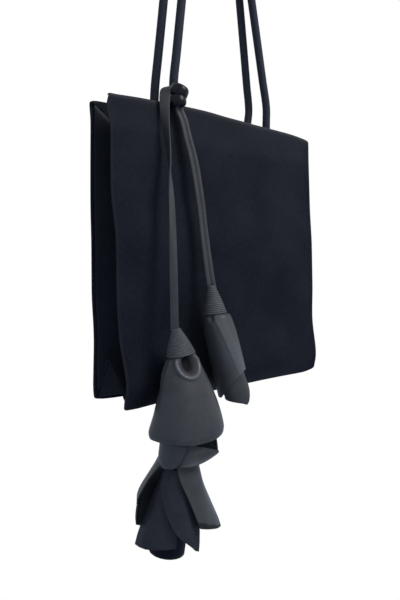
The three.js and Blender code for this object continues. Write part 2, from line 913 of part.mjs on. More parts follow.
function shortOuterPetal() {
  return petal(
    {
      bearing: () => 10,
      spread: () => 168,
      edge: (across) => 0.82 - 0.14 * Math.sin((across * 168 + 10) * degrees),
      radius: (reach) => rollRadiusAt(reach, 0),
      start: rollStart,
      length: rollLength,
    },
    22,
    6,
  );
}

function shortInnerPetal() {
  return petal(
    {
      bearing: () => 45,
      spread: () => 92,
      edge: (across) => 1.08 - 0.19 * Math.abs(across) ** 1.3,
      radius: (reach, across) =>
        rollRadiusAt(reach, -1) + rollFlare * ease(reach * 3.4 - 2.4) * (0.4 + 0.6 * across),
      start: rollStart,
      length: rollLength,
    },
    12,
    6,
  );
}

function shortStem() {
  const start = clearOf(shortBindingLean, rollLean, stemRadius);
  return lathe(
    [
      [0, -start],
      [stemRadius, -start],
      [rollRadius - layerStep - leather, -rollLength * 0.25],
      [rollRadius - layerStep - leather, -rollLength * 0.7],
      [0, -rollLength * 0.76],
    ],
    16,
  );
}

// Assembly

function material({ color, roughness, metalness }) {
  return new THREE.MeshStandardMaterial({ color, roughness, metalness });
}

function part(parent, name, geometry, finish) {
  const mesh = new THREE.Mesh(geometry, material(finish));
  mesh.name = name;
  parent.add(mesh);
}

// A group whose own -Z points along a lean.
function hungFrom(parent, top, down) {
  const group = new THREE.Group();
  group.position.copy(top);
  group.quaternion.setFromUnitVectors(vec(0, 0, -1), down);
  parent.add(group);
  return group;
}

const along = (from, direction, distance) => from.clone().addScaledVector(direction, distance);
const endReach = (width) => Math.hypot(width, thongThickness) / 2 + pivotGap;

const sides = { left: -1, right: 1 };
const faces = { front: -1, back: 1 };

function addBody(bag) {
  for (const [face, sideY] of Object.entries(faces)) {
    part(bag, face + "_panel", panel(sideY), satin);
    part(bag, face + "_facing", facing(sideY), satin);
    part(bag, face + "_lining", lining(sideY), liningCloth);
  }
  for (const [side, sideX] of Object.entries(sides))
    part(bag, side + "_gusset", gusset(sideX), satin);
  part(bag, "base_panel", basePanel(), satin);
}

function addHandles(bag) {
  for (const [face, sideY] of Object.entries(faces)) {
    for (const [side, sideX] of Object.entries(sides)) {
      part(bag, face + "_" + side + "_cord_root", cordRoot(sideX, sideY), cordCloth);
      part(bag, face + "_" + side + "_cord_tab", cordTab(sideX, sideY), satin);
    }
    part(bag, face + "_handle_cord", handleLoop(sideY), cordCloth);
  }
}

function addThongs(bag) {
  part(bag, "charm_loop", charmLoop(), charmLeather);
  part(bag, "charm_knot", charmKnot(), knotLeather);
  part(bag, "long_strap_bend", longStrapBend(), charmLeather);
  part(bag, "long_strap", longStrap(), charmLeather);
  part(bag, "short_strap", shortStrap(), charmLeather);
}

function addLongFlower(bag) {
  const bindingTop = along(longFlowerPivot, longBindingLean, endReach(longStrapWidth));
  const binding = hungFrom(bag, bindingTop, longBindingLean);
  part(binding, "long_binding_core", bindingCore(longBindingRadius), charmLeather);
  part(binding, "long_binding_thread", bindingThread(longBindingRadius), waxedThread);
  const bellTop = along(bindingTop, longBindingLean, bindingLength);
  const bell = hungFrom(bag, bellTop, bellLean);
  part(bell, "bell_petal", bellPetal(), charmLeather);
  part(bell, "bell_under_petal", bellUnderPetal(), charmLeather);
  part(hungFrom(bag, bellTop, stemLean), "long_stem", longStem(), charmLeather);
  const lowerTop = along(along(bellTop, stemLean, stemLength), lowerLean, stemNeck + pivotGap);
  const lower = hungFrom(bag, lowerTop, lowerLean);
  part(lower, "core_roll", coreRoll(), charmLeather);
  part(lower, "collar_petal_left", collarPetalLeft(), charmLeather);
  part(lower, "collar_petal_right", collarPetalRight(), charmLeather);
  for (const [name, form] of Object.entries(lowerPetalShares))
    part(lower, name, lowerPetal(form), charmLeather);
}

function addShortFlower(bag) {
  const bindingTop = along(shortFlowerPivot, shortBindingLean, endReach(shortStrapWidth));
  const binding = hungFrom(bag, bindingTop, shortBindingLean);
  part(binding, "short_binding_core", bindingCore(shortBindingRadius), charmLeather);
  part(binding, "short_binding_thread", bindingThread(shortBindingRadius), waxedThread);
  const roll = hungFrom(bag, along(bindingTop, shortBindingLean, bindingLength), rollLean);
  part(roll, "short_outer_petal", shortOuterPetal(), charmLeather);
  part(roll, "short_inner_petal", shortInnerPetal(), charmLeather);
  part(roll, "short_stem", shortStem(), charmLeather);
}

const handbag = new THREE.Group();
handbag.position.z = cordRadius - loopTop;
addBody(handbag);
addHandles(handbag);
addThongs(handbag);
addLongFlower(handbag);
addShortFlower(handbag);

const root = new THREE.Group();
root.add(handbag);

export default root;
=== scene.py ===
# %% [markdown]
# # A satin handbag with cord handles and a leather flower charm
#
# The bag is a small flat body of heavy satin that hangs from two thin cord handles. Its sides fold
# inwards like the sides of a paper bag. A leather thong is tied round the foot of one cord and carries
# two flowers cut from soft leather, each with its petals gathered under a wound binding.
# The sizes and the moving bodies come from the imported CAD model. This notebook makes the looks: cloth
# that turns over at the mouth, cords, thongs, petals, windings, stitches, and a finish for each.

import math

import bpy
import numpy as np
from mathutils import Matrix, Vector


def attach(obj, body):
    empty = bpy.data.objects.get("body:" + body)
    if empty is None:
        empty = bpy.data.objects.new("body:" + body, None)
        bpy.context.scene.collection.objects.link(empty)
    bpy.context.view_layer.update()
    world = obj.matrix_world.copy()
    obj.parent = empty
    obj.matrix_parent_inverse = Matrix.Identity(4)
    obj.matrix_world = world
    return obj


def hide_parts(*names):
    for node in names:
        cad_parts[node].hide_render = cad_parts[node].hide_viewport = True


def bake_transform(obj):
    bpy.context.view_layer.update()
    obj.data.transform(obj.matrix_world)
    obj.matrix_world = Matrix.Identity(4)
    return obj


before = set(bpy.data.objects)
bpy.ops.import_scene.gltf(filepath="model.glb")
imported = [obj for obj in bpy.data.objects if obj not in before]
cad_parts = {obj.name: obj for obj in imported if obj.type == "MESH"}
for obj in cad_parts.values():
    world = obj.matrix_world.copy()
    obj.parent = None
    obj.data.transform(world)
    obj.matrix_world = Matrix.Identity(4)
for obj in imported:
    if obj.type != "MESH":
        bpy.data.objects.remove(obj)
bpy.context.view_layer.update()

# %% [markdown]
# ## One way of measuring
#
# The bag is easiest to draw from its own foot: millimetres, X to the right, Y to the back, Z up from
# the lower edge of the panels. The CAD frame has its origin where a hook bears under the handles, so
# one function turns drawn places into that frame, in metres. Everything else can then stay in
# millimetres, which is how a bag maker thinks.

# %% Sizes of the bag
body_width = 250
body_height = 258
cord_radius = 4
handle_drop = 300
hang_height = body_height + handle_drop - cord_radius


def to_frame(points):
    """Places drawn from the foot of the bag, in mm, as metres in the frame."""
    return (np.asarray(points, float) - (0, 0, hang_height)) / 1000


print("foot of the bag in the frame, m", round(to_frame((0, 0, 0))[2], 4))

# %% [markdown]
# ## The camera
#
# The photograph was taken a little to the left of the bag and slightly above its middle. The camera is
# made first, because every later piece is judged through it. Its place, direction and lens were fitted
# to the edges of the bag in the photograph.

# %% Camera
def new_object(name, data, finish=None):
    """Puts a mesh, lamp or camera in the scene."""
    thing = bpy.data.objects.new(name, data)
    bpy.context.scene.collection.objects.link(thing)
    if finish:
        data.materials.append(finish)
    return thing


camera_place = (-334.33, -377.25, 111.32)
camera_right = Vector((0.76856, -0.63959, -0.01518))
camera_up = Vector((0.04811, 0.03412, 0.99826))
lens_pixels, frame_pixels, sensor_mm = 507.04, 600, 36

camera_data = bpy.data.cameras.new("camera")
camera_data.sensor_width = sensor_mm
camera_data.lens = lens_pixels / frame_pixels * sensor_mm
camera_data.clip_start = 0.01
camera = new_object("camera", camera_data)
turn = Matrix((camera_right, camera_up, camera_right.cross(camera_up))).transposed()
camera.matrix_world = Matrix.Translation(to_frame(camera_place)) @ turn.to_4x4()
bpy.context.scene.camera = camera
print("lens", round(camera_data.lens, 2), "mm")

# %% [markdown]
# ## Writing finishes as sums
#
# A shader is a tree of small nodes. Written out one node at a time it is long and hard to read, so a
# small class holds one socket and lets it be added, multiplied or compared with numbers and with other
# sockets. Each sum adds its own Math node. Colours are mixed, because a Math node would turn them grey.

# %% A socket that can be used in sums
class Value:
    def __init__(self, tree, socket):
        self.tree, self.socket = tree, socket

    def output(self, name):
        """Another output of the same node."""
        return Value(self.tree, self.socket.node.outputs[name])

    def math(self, operation, *others):
        node = self.tree.nodes.new("ShaderNodeMath")
        node.operation = operation
        for socket, value in zip(node.inputs, (self, *others)):
            plug(self.tree, value, socket)
        return Value(self.tree, node.outputs[0])

    def __add__(self, other):
        return self.math("ADD", other)

    def __mul__(self, other):
        return self.math("MULTIPLY", other)

    def __sub__(self, other):
        return self.math("SUBTRACT", other)

    def __rsub__(self, other):
        return (self * -1) + other

    __radd__, __rmul__ = __add__, __mul__

    def between(self, low, high):
        """0 below low, 1 above high, and a smooth rise between them."""
        node = self.tree.nodes.new("ShaderNodeMapRange")
        node.interpolation_type = "SMOOTHSTEP"
        plug(self.tree, self, node.inputs["Value"])
        node.inputs["From Min"].default_value, node.inputs["From Max"].default_value = low, high
        return Value(self.tree, node.outputs["Result"])


def plug(tree, value, socket):
    if isinstance(value, Value):
        tree.links.new(value.socket, socket)
    elif hasattr(value, "__len__") and len(value) == 3 and socket.type == "RGBA":
        socket.default_value = (*value, 1)
    else:
        socket.default_value = value


class Tree:
    """A tree of nodes, to which a node is added with its settings and what goes into its sockets."""

    def __init__(self, tree):
        self.tree = tree

    def add(self, kind, output=0, inputs=None, **settings):
        node = self.tree.nodes.new(kind)
        for name, value in settings.items():
            setattr(node, name, value)
        for name, value in (inputs or {}).items():
            plug(self.tree, value, node.inputs[name])
        return Value(self.tree, node.outputs[output])

    def end(self, kind, value):
        """Adds the node that a tree ends with."""
        plug(self.tree, value, self.tree.nodes.new(kind).inputs[0])


class Finish(Tree):
    """A material whose pattern is written with Value sums."""

    def __init__(self, name, roughness, specular=0.5, **constants):
        self.material = bpy.data.materials.new(name)
        self.material.use_nodes = True
        super().__init__(self.material.node_tree)
        self.shader = self.tree.nodes["Principled BSDF"]
        self.set("Roughness", roughness)
        self.set("Specular IOR Level", specular)
        for socket, value in constants.items():
            self.set(socket.replace("_", " "), value)

    def set(self, socket, value):
        plug(self.tree, value, self.shader.inputs[socket])

    def coordinates(self, output="UV", scale=(1, 1, 1), turned=0):
        place = self.add("ShaderNodeTexCoord", output)
        return self.add("ShaderNodeMapping", inputs={
            "Vector": place, "Scale": scale, "Rotation": (0, 0, turned)})

    def noise(self, place, size, detail=3, roughness=0.5):
        """Soft noise whose patches are about size metres wide, from 0 to 1."""
        return self.add("ShaderNodeTexNoise", inputs={
            "Vector": place, "Scale": 1 / size, "Detail": detail, "Roughness": roughness})

    def wave(self, place, pitch, direction="X"):
        """Even threads, pitch metres apart. At a scale of 1 the texture's own pitch is 2 pi / 20."""
        return self.add("ShaderNodeTexWave", "Fac", {"Vector": place, "Scale": 2 * math.pi / 20 / pitch},
                        bands_direction=direction)

    def mix(self, share, first, second):
        """Mixes two colours: sockets 6 and 7 of the node, whose output 2 is the mixed colour."""
        return self.add("ShaderNodeMix", 2, {0: share, 6: first, 7: second}, data_type="RGBA")

    def bump(self, height, distance, strength=1):
        self.set("Normal", self.add("ShaderNodeBump", inputs={
            "Height": height, "Distance": distance, "Strength": strength}))

    def attribute(self, name):
        return self.add("ShaderNodeAttribute", "Fac", attribute_name=name)


print("Value, Tree and Finish are ready")

# %% [markdown]
# ## Floor, background and light
#
# The bag is nearly black, so its form shows only through soft differences of light. One lamp stands
# high at the front right: it makes the upper part of the panel the palest, puts a highlight on every
# turned edge of the leather and leaves the folded side and the left petals in shade. Part of this is
# also painted into the finishes below: painted highlights on the top and edges of the panels and on
# rims and ridges of the leather, painted light on the folded sides, and painted shade on the petals in
# front and at the back. An even, slightly cool surrounding keeps those readable. The camera, and glossy
# surfaces, see plain white round the bag, as in a studio. The floor is pale too and lies far below,
# because the bag hangs.

# %% Lamp
lamp_side, lamp_watts = 0.3, 5.3
lamp_place, lamp_aim = (Vector(to_frame(place)) for place in ((190, -580, 650), (0, 0, 100)))
lamp_data = bpy.data.lights.new("high_lamp", "AREA")
lamp_data.shape, lamp_data.energy = "RECTANGLE", lamp_watts
lamp_data.size = lamp_data.size_y = lamp_side
lamp = new_object("high_lamp", lamp_data)
heading = (lamp_aim - lamp_place).to_track_quat("-Z", "Y").to_matrix().to_4x4()
lamp.matrix_world = Matrix.Translation(lamp_place) @ heading
print("lamp", lamp_watts, "W")

# %% Background
world = bpy.data.worlds.new("studio")
bpy.context.scene.world = world
bpy.context.scene.view_settings.view_transform = "Standard"
world.use_nodes = True
world.node_tree.nodes.clear()
sky = Tree(world.node_tree)
rays = sky.add("ShaderNodeLightPath", "Is Camera Ray")
seen = rays.math("MAXIMUM", rays.output("Is Glossy Ray"))
seen = seen.math("MAXIMUM", rays.output("Is Transmission Ray"))
even_light = sky.add("ShaderNodeBackground", inputs={"Color": (0.62, 0.76, 1), "Strength": 0.8})
white = sky.add("ShaderNodeBackground", inputs={"Color": (1, 1, 1), "Strength": 1})
surrounding = sky.add("ShaderNodeMixShader", inputs={0: seen, 1: even_light, 2: white})
sky.end("ShaderNodeOutputWorld", surrounding)

# %% Floor
floor_drop, floor_reach = 420, 4000
corners = [(x * floor_reach, y * floor_reach, -floor_drop)
           for x, y in ((-1, -1), (1, -1), (1, 1), (-1, 1))]
floor_mesh = bpy.data.meshes.new("floor")
floor_mesh.from_pydata(to_frame(corners).tolist(), [], [(0, 1, 2, 3)])
pale = Finish("pale_floor", 0.9, 0.1, Base_Color=(0.9, 0.9, 0.9))
white = pale.add("ShaderNodeEmission", inputs={"Color": (1, 1, 1), "Strength": 1})
seen = pale.add("ShaderNodeLightPath", "Is Camera Ray")
plain_or_white = {0: seen, 1: Value(pale.tree, pale.shader.outputs[0]), 2: white}
plug(pale.tree, pale.add("ShaderNodeMixShader", inputs=plain_or_white),
     pale.tree.nodes["Material Output"].inputs["Surface"])
floor = new_object("floor", floor_mesh, pale.material)
print("background and floor")

# %% [markdown]
# ## Satin
#
# The bag's cloth is a heavy, nearly black satin with a cold blue cast. Close by it has a fine weave with
# thicker threads here and there; from a step away it shows as soft streaks along the cloth and slightly
# paler patches. Where a piece is marked its colour is painted paler, a painted highlight or painted
# light. The weave follows the UV map, which is in metres along the cloth, so it turns over at the mouth
# and into the folds with the cloth.

# %% Satin finish
# The pale colour that marked satin is mixed towards: painted light, mostly painted highlights on folds
# and edges.
painted_light_cloth = (0.034, 0.0345, 0.036)


def woven(name, dark, light, thread, roughness, specular, slub=0.006):
    """A cloth with its threads along and across the UV map, painted paler where it is marked: painted
    light.
    """
    cloth = Finish(name, roughness, specular)
    flat = cloth.coordinates()
    along, across = (cloth.noise(cloth.coordinates(scale=scale), slub, 4, 0.65)
                     for scale in ((6, 1, 1), (1, 6, 1)))
    patches = cloth.noise(flat, 0.06, 2)
    tone = along * 0.45 + across * 0.35 + patches * 0.5 - 0.15
    shade = cloth.mix(tone.between(0.3, 0.7), dark, light)
    # Painted light: where a piece is marked, the cloth is mixed towards the pale colour.
    cloth.set("Base Color", cloth.mix(cloth.attribute("mark"), shade, painted_light_cloth))
    cloth.set("Roughness", patches * 0.16 + (roughness - 0.08))
    weave = cloth.wave(flat, thread, "X") * 0.5 + cloth.wave(flat, thread, "Y") * 0.5
    cloth.bump(weave + along * 1.6 + across * 1.2, thread * 0.35, 0.5)
    return cloth.material


satin = woven("satin", (0.0034, 0.0042, 0.0077), (0.0108, 0.0122, 0.0170), 0.0006, 0.6, 0.035)
lining_cloth = woven("lining_cloth", (0.016, 0.017, 0.021), (0.028, 0.029, 0.034), 0.0004, 0.7, 0.15,
                     0.004)
sewing = woven("sewing_thread", (0.010, 0.011, 0.015), (0.022, 0.024, 0.030), 0.0003, 0.6, 0.25, 0.002)
print("satin, lining cloth and sewing thread")

# %% [markdown]
# ## Cord, leather and thread
#
# The handle cord is a round cord in a tight matt cover, so its weave is slanted. The leather is soft
# and dyed through: a fine pebbled grain and a little sheen. Each sheet may carry a mark that paints
# light into its colour: above 0 a painted shade, darker and cooler, in hollows, along cut edges and
# under a hem; below 0 a painted highlight on rims and ridges. Where the petals hang in the shade of
# others, and for the parts deep inside or at the back, darker copies of the leather are painted shade.
# The knot is the same leather, polished by being drawn tight. The thread is waxed and matt.

# %% Cord finish
def covered_cord():
    cord = Finish("cord", 0.72, 0.1)
    one, other = (cord.wave(cord.coordinates(turned=math.radians(slant)), 0.0011) for slant in (52, -52))
    fluff = cord.noise(cord.coordinates(), 0.003, 4)
    tone = one * 0.25 + other * 0.25 + fluff * 0.6 - 0.1
    cord.set("Base Color",
             cord.mix(tone.between(0.2, 0.8), (0.010, 0.011, 0.017), (0.021, 0.023, 0.032)))
    cord.bump(one.math("MAXIMUM", other) + fluff * 0.4, 0.00016, 0.6)
    return cord.material


cord_cover = covered_cord()

# %% Leather finishes
# Painted light: a mark above 0 mixes the colour towards this share of the dark colour, a painted shade;
# below 0 towards this share of the light colour, a painted highlight.
painted_shade_share, painted_highlight_share = 0.25, 3.4


def leather(name, dark, light, roughness, specular, grain=0.0011, coat=0.0):
    hide = Finish(name, roughness, specular, Coat_Weight=coat, Coat_Roughness=0.25)
    place = hide.coordinates("Object")
    pores = hide.add("ShaderNodeTexVoronoi", "Distance", {"Vector": place, "Scale": 1 / grain})
    creases = hide.noise(place, 0.007, 4, 0.6)
    clouds = hide.noise(place, 0.035, 2)
    tone = clouds * 0.7 + creases * 0.4 + pores * 0.15 - 0.1
    # The mark, here called hollow, is painted light: above 0 painted shade, below 0 painted highlight.
    # It also makes the leather rougher or smoother.
    hollow = hide.attribute("mark")
    shade = hide.mix(tone.between(0.25, 0.75), dark, light)
    shade = hide.mix(hollow, shade, tuple(painted_shade_share * c for c in dark))
    hide.set("Base Color", hide.mix(hollow * -1, shade, tuple(painted_highlight_share * c for c in light)))
    hide.set("Roughness", clouds * 0.14 + creases * 0.1 + hollow * 0.5 + (roughness - 0.1))
    hide.bump(pores * 0.6 + creases * 0.9, 0.00022, 0.45)
    return hide.material


petal_leather = leather("petal_leather", (0.028, 0.0282, 0.030), (0.043, 0.0432, 0.045), 0.36, 0.13)
# Painted shade: the next two finishes are darker copies of the same leather, the first for petals in the
# shade of others, the second for the parts deep inside or at the back.
shaded_leather = leather("shaded_leather", (0.015, 0.0158, 0.020), (0.025, 0.026, 0.031), 0.42, 0.06)
dark_leather = leather("dark_leather", (0.003, 0.004, 0.0075), (0.0065, 0.008, 0.013), 0.55, 0.04)
strap_leather = leather("strap_leather", (0.027, 0.0275, 0.0285), (0.042, 0.043, 0.0445), 0.45, 0.13)
knot_leather = leather("knot_leather", (0.0018, 0.0023, 0.0042), (0.0045, 0.0055, 0.0085), 0.3, 0.09,
                       coat=0.1)

# %% Thread finish
def waxed_thread():
    thread = Finish("waxed_thread", 0.6, 0.25)
    place = thread.coordinates("Object")
    fibres, worn = thread.noise(place, 0.0016, 4, 0.7), thread.noise(place, 0.012, 2)
    tone = fibres * 0.5 + worn * 0.6 - 0.05
    thread.set("Base Color",
               thread.mix(tone.between(0.25, 0.8), (0.045, 0.046, 0.048), (0.085, 0.086, 0.088)))
    thread.bump(fibres, 0.00006, 0.5)
    return thread.material


thread_wax = waxed_thread()
print("cord, five leathers and thread")

# %% [markdown]
# ## From a grid of places to a piece
#
# Most pieces here are thin sheets. A sheet is drawn as a grid of places on its middle surface. The
# Solidify modifier gives it its thickness and Subdivision Surface rounds its edges. The modifiers are
# then applied, so the piece is a plain closed mesh, turned right side out, with its UV map in metres
# along the sheet. A piece then gets its body, and the nodes of the CAD model that it stands for are
# hidden, mostly all at once.

# %% Mesh helpers
def dress(piece, body, slot, *nodes):
    """Lets a piece ride on a body and hides the nodes it replaces. The slot is not used."""
    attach(piece, body)
    if nodes:
        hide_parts(*nodes)


def plain(piece):
    """Applies the modifiers of a piece."""
    graph = bpy.context.evaluated_depsgraph_get()
    mesh = bpy.data.meshes.new_from_object(piece.evaluated_get(graph), depsgraph=graph)
    piece.modifiers.clear()
    piece.data = mesh
    mesh.name = piece.name
    return piece


def right_side_out(piece):
    """Turns all the faces of a closed piece round if they point inwards."""
    mesh = piece.data
    mesh.calc_loop_triangles()
    corners = np.empty(len(mesh.vertices) * 3, np.float32)
    mesh.vertices.foreach_get("co", corners)
    corners = corners.reshape(-1, 3).astype(float)
    triangles = np.empty(len(mesh.loop_triangles) * 3, np.int32)
    mesh.loop_triangles.foreach_get("vertices", triangles)
    a, b, c = (corners[triangles.reshape(-1, 3)[:, k]] for k in range(3))
    if np.einsum("ij,ij->i", a, np.cross(b, c)).sum() < 0:
        mesh.flip_normals()
    mesh.shade_smooth()
    return piece


def grid_faces(across, along, columns):
    """Faces of a grid and the UVs of their corners, from each place's way across and along the cloth.

    Where the rows are rings, across has one place more than there are columns, for the seam.
    """
    faces, uvs = [], []
    for j in range(len(along) - 1):
        for i in range(across.shape[1] - 1):
            corners = ((j, i), (j, i + 1), (j + 1, i + 1), (j + 1, i))
            faces.append(tuple(row * columns + column % columns for row, column in corners))
            uvs += [(across[row, column], along[row]) for row, column in corners]
    return faces, uvs


def piece_from(name, places, faces, uvs, finish):
    """A piece from places in mm, faces, and a UV map in metres."""
    mesh = bpy.data.meshes.new(name)
    mesh.from_pydata(to_frame(places.reshape(-1, 3)).tolist(), [], faces)
    mesh.uv_layers.new(name="cloth").data.foreach_set("uv", np.array(uvs, np.float32).ravel())
    return new_object(name, mesh, finish)


def run_along(places):
    """How far each of some places in mm is along the line through them, in metres."""
    steps = np.linalg.norm(np.diff(places, axis=-2), axis=-1)
    return np.concatenate([np.zeros((*steps.shape[:-1], 1)), np.cumsum(steps, -1)], -1) / 1000


def sheet_piece(name, grid, finish, thickness, wrap=False, levels=1, values=None):
    """A thin closed piece of even thickness about a grid of places: rows along it, columns across."""
    grid = np.asarray(grid, float)
    across = run_along(np.concatenate([grid, grid[:, :1]], 1) if wrap else grid)
    across -= across[:, -1:] / 2
    rises = np.linalg.norm(np.diff(grid, axis=0), axis=2).mean(1)
    along = np.concatenate([[0], np.cumsum(rises)]) / 1000
    piece = piece_from(name, grid, *grid_faces(across, along, grid.shape[1]), finish)
    if values is not None:
        mark = piece.data.attributes.new("mark", "FLOAT", "POINT")
        mark.data.foreach_set("value", np.asarray(values, np.float32).ravel())
    solid = piece.modifiers.new("thickness", "SOLIDIFY")
    solid.thickness, solid.offset, solid.use_quality_normals = thickness / 1000, 0, True
    smooth = piece.modifiers.new("smooth", "SUBSURF")
    smooth.levels = smooth.render_levels = levels
    right_side_out(plain(piece))
    print(name, len(piece.data.polygons), "faces")
    return piece


def soften(grid, times):
    """Rounds the folds of a grid by moving each place towards its neighbours. Its edges stay."""
    grid = grid.copy()
    for _ in range(times):
        smooth = grid.copy()
        smooth[1:-1] += (grid[:-2] + grid[2:] - 2 * grid[1:-1]) * 0.25
        smooth[:, 1:-1] += (grid[:, :-2] + grid[:, 2:] - 2 * grid[:, 1:-1]) * 0.25
        grid[1:-1, 1:-1] = smooth[1:-1, 1:-1]
    return grid


def ease(x):
    x = np.clip(x, 0, 1)
    return x * x * (3 - 2 * x)


print("mesh helpers are ready")

# %% [markdown]
# ## The form of the bag
#
# Each panel is nearly flat and upright. It swells in two steps on its way down, where the stiffened
# satin is pushed out by the folded base, and along its middle the foot curls under. A short table of
# measured rows holds that form, smoothed a little between the rows, and every satin piece uses it.

# %% Form of the satin body
top_half_depth = 17
# What lies inside a panel's outer face: the panel with its seam, the gap to a cloth sewn behind it, the
# hem, and from the outer face to the middle of the turned-in hem and the linings.
panel_depth, fit_gap, hem_cloth, inner_depth = 2.4, 0.3, 1, 3.2
# The body's height, half depth and half width at measured rows.
body_rows = [(0, 27.5, 121.5), (8, 28.5, 122.5), (20, 28.5, 122.5), (36, 25.5, 123.3),
             (48, 22.6, 124.2), (62, 21.2, 124.8), (90, 21.2, 125.8), (140, 21, 124.8),
             (153, 19.7, 125.5), (166, 18.2, 126.2), (178, 17.2, 126.5), (205, 17, 125.8),
             (240, 17, 124.5), (258, 17, 124.5)]
row_heights, row_half_depths, row_half_widths = np.transpose(body_rows)


def from_rows(z, values):
    z = np.asarray(z, float)
    return sum(np.interp(z + shift, row_heights, values) for shift in (-6, -3, 0, 3, 6)) / 5


def half_depth(z, share=1.0):
    """share is the place across the panel, 1 at its edges, where the foot does not curl under."""
    curl = 7 * np.maximum(0, 1 - np.asarray(z, float) / 20) ** 2
    return from_rows(z, row_half_depths) - curl * (1 - np.abs(share) ** 4)


def half_width(z):
    return from_rows(z, row_half_widths)


def top_edge(x):
    return body_height - 4 * (x / (body_width / 2)) ** 2


print("half depth at the foot, swell and mouth, mm",
      [round(float(half_depth(z)), 1) for z in (0, 20, body_height)])

# %% [markdown]
# ## The panels
#
# On the real bag a panel and its turned-in hem are one cloth: it comes up the outside, folds over at
# the mouth and goes down inside. So each is drawn here as one sheet along that whole way. A panel is
# never quite flat, so it gets long, low waves, and its side edges are pinched a little proud where
# the seam behind them draws the cloth together. Above that seam, and at the foot, each corner is free
# and turns out a little. A band along the top, the side edges and the fold at the mouth are painted
# paler: painted highlights where the cloth turns towards the lamp.

# %% Front and back panels with their hems
panel_cloth, hem_fold, hem_depth = 1.4, 1.25, 32
outer_rows, hem_rows = 50, 11


def low_waves(x, z, seed):
    """Long soft waves of the cloth, in mm."""
    rng = np.random.default_rng(seed)
    total = np.zeros(np.broadcast(x, z).shape)
    for length, height in ((170, 0.5), (95, 0.35), (60, 0.2), (38, 0.12)):
        for _ in range(2):
            heading, phase = rng.uniform(-0.9, 0.9), rng.uniform(0, 2 * np.pi)
            run = x * np.cos(heading) + z * np.sin(heading)
            total += height * np.sin(2 * np.pi * run / length + phase)
    return total


def turned_out(shares, z, side):
    """How far the corners at the mouth and the foot stand out to the side, and back, in mm."""
    left = np.exp(-(((z - 243) / 9) ** 2)) - 0.6 * ease((z - 252) / 6)
    right = 0.45 * np.exp(-(((z - 253) / 7) ** 2))
    foot = np.where(shares < 0, *{-1: (0.9, -0.9), 1: (0.5, 0)}[side]) * np.exp(-((z / 13) ** 2))
    out = (np.where(shares * side > 0, left, right) + foot) * np.abs(shares) ** 14
    return 3.2 * out, 1.8 * np.maximum(out, 0)


def panel_grid(side, seed):
    """Rows up the outside, round the fold at the mouth and down inside. The front's side is -1."""
    shares = np.linspace(-1, 1, 53)
    shares = np.sign(shares) * (1 - (1 - np.abs(shares)) ** 1.15)
    edge, x = np.abs(shares), shares * body_width / 2
    foot = np.where(shares < 0, 1.8 * edge**24, 5 * edge**14) - 2.3
    rounding = np.where((side < 0) & (shares < 0), 0.4, 1.8) * edge**60
    sag = 2 * (x / (body_width / 2)) ** 2 if side > 0 else -1.4 * np.exp(-(((x - 25) / 38) ** 2))
    top = top_edge(x) + sag - rounding - 0.6
    pinch = 0.7 * ease((edge - 0.955) / 0.03) - 0.35 * np.exp(-(((edge - 0.945) / 0.02) ** 2))
    rows = []
    for rise in (*np.linspace(0, 0.12, 10)[:-1], *np.linspace(0.12, 1, outer_rows - 10)[:-1], 0.99, 1):
        z = foot + (top - foot) * rise
        out, back = turned_out(shares, z, side)
        x = shares * half_width(z) + np.sign(shares) * out
        calm = ease(z / 30) * ease((1 - edge) / 0.06)
        y = (half_depth(z, shares) - back - panel_cloth / 2 + pinch * ease((255 - z) / 10)
             + low_waves(x, z, seed) * calm * 0.8)
        rows.append(np.stack([x, side * y, z], 1))
    lip = rows[-1]
    for angle in np.linspace(0, np.pi, 7)[1:]:
        rows.append(lip + (0, -side * hem_fold * (1 - np.cos(angle)), hem_fold * 0.45 * np.sin(angle)))
    inner = rows[-1]
    for share in np.linspace(0, 1, hem_rows + 1)[1:]:
        z = inner[:, 2] - (hem_depth - 1) * share
        inset = 1 - (12 / 125) * ease(share * 6)
        rows.append(np.stack([inner[:, 0] * inset, side * (half_depth(z) - inner_depth), z], 1))
    return np.array(rows)


for name, side, seed in (("front", -1, 3), ("back", 1, 11)):
    grid = panel_grid(side, seed)
    fold = outer_rows - 1
    # Painted highlights: a band along the top of the outside, the side edges, the last outer row and the
    # fold at the mouth are painted paler.
    painted_light = np.zeros(grid.shape[:2])
    painted_light[:fold] = 0.11 * ease((grid[:fold, :, 2] - 224) / 5)
    painted_light[:fold, [0, -1]], painted_light[fold - 1], painted_light[fold:fold + 4] = 0.25, 0.2, 0.8
    dress(sheet_piece(name + "_panel_cloth", grid, satin, panel_cloth, values=painted_light), "shell", "satin",
          name + "_panel", name + "_facing")

# %% [markdown]
# ## The folded sides
#
# Each side is folded like the side of a paper bag. A pleat runs down its middle, inwards. At the foot
# the pleat splits into two creases that run out to the bottom corners, and the cloth between them folds
# outwards again to meet the raised ridge of the base. Along one row of cloth the way is therefore: from
# the seam in to the crease, then out again to the ridge, with the second part shrinking to nothing where
# the pleat begins. The grid follows the cloth, and softening it rounds the creases.

# %% Left and right gussets
gusset_half_width, gusset_cloth = 45, 1.2
base_ridge, tuck_ridge = 35.2, 38.6


def seam_depth(z):
    return half_depth(z) - panel_depth - fit_gap - gusset_cloth / 2


def seam(z):
    z = np.asarray(z, float)
    return np.stack([half_width(z) - 2, seam_depth(z), z], -1)


def crease_distance(z):
    return body_width / 2 - np.sqrt(gusset_half_width**2 - (half_depth(z) - panel_depth) ** 2)


corner_height = tuck_ridge - base_ridge + gusset_cloth
corner = seam(corner_height)
apex_height = tuck_ridge + 3
apex = np.array([crease_distance(apex_height), 0, apex_height])
ridge_end = np.array([body_width / 2 - 1.3, 0, tuck_ridge])


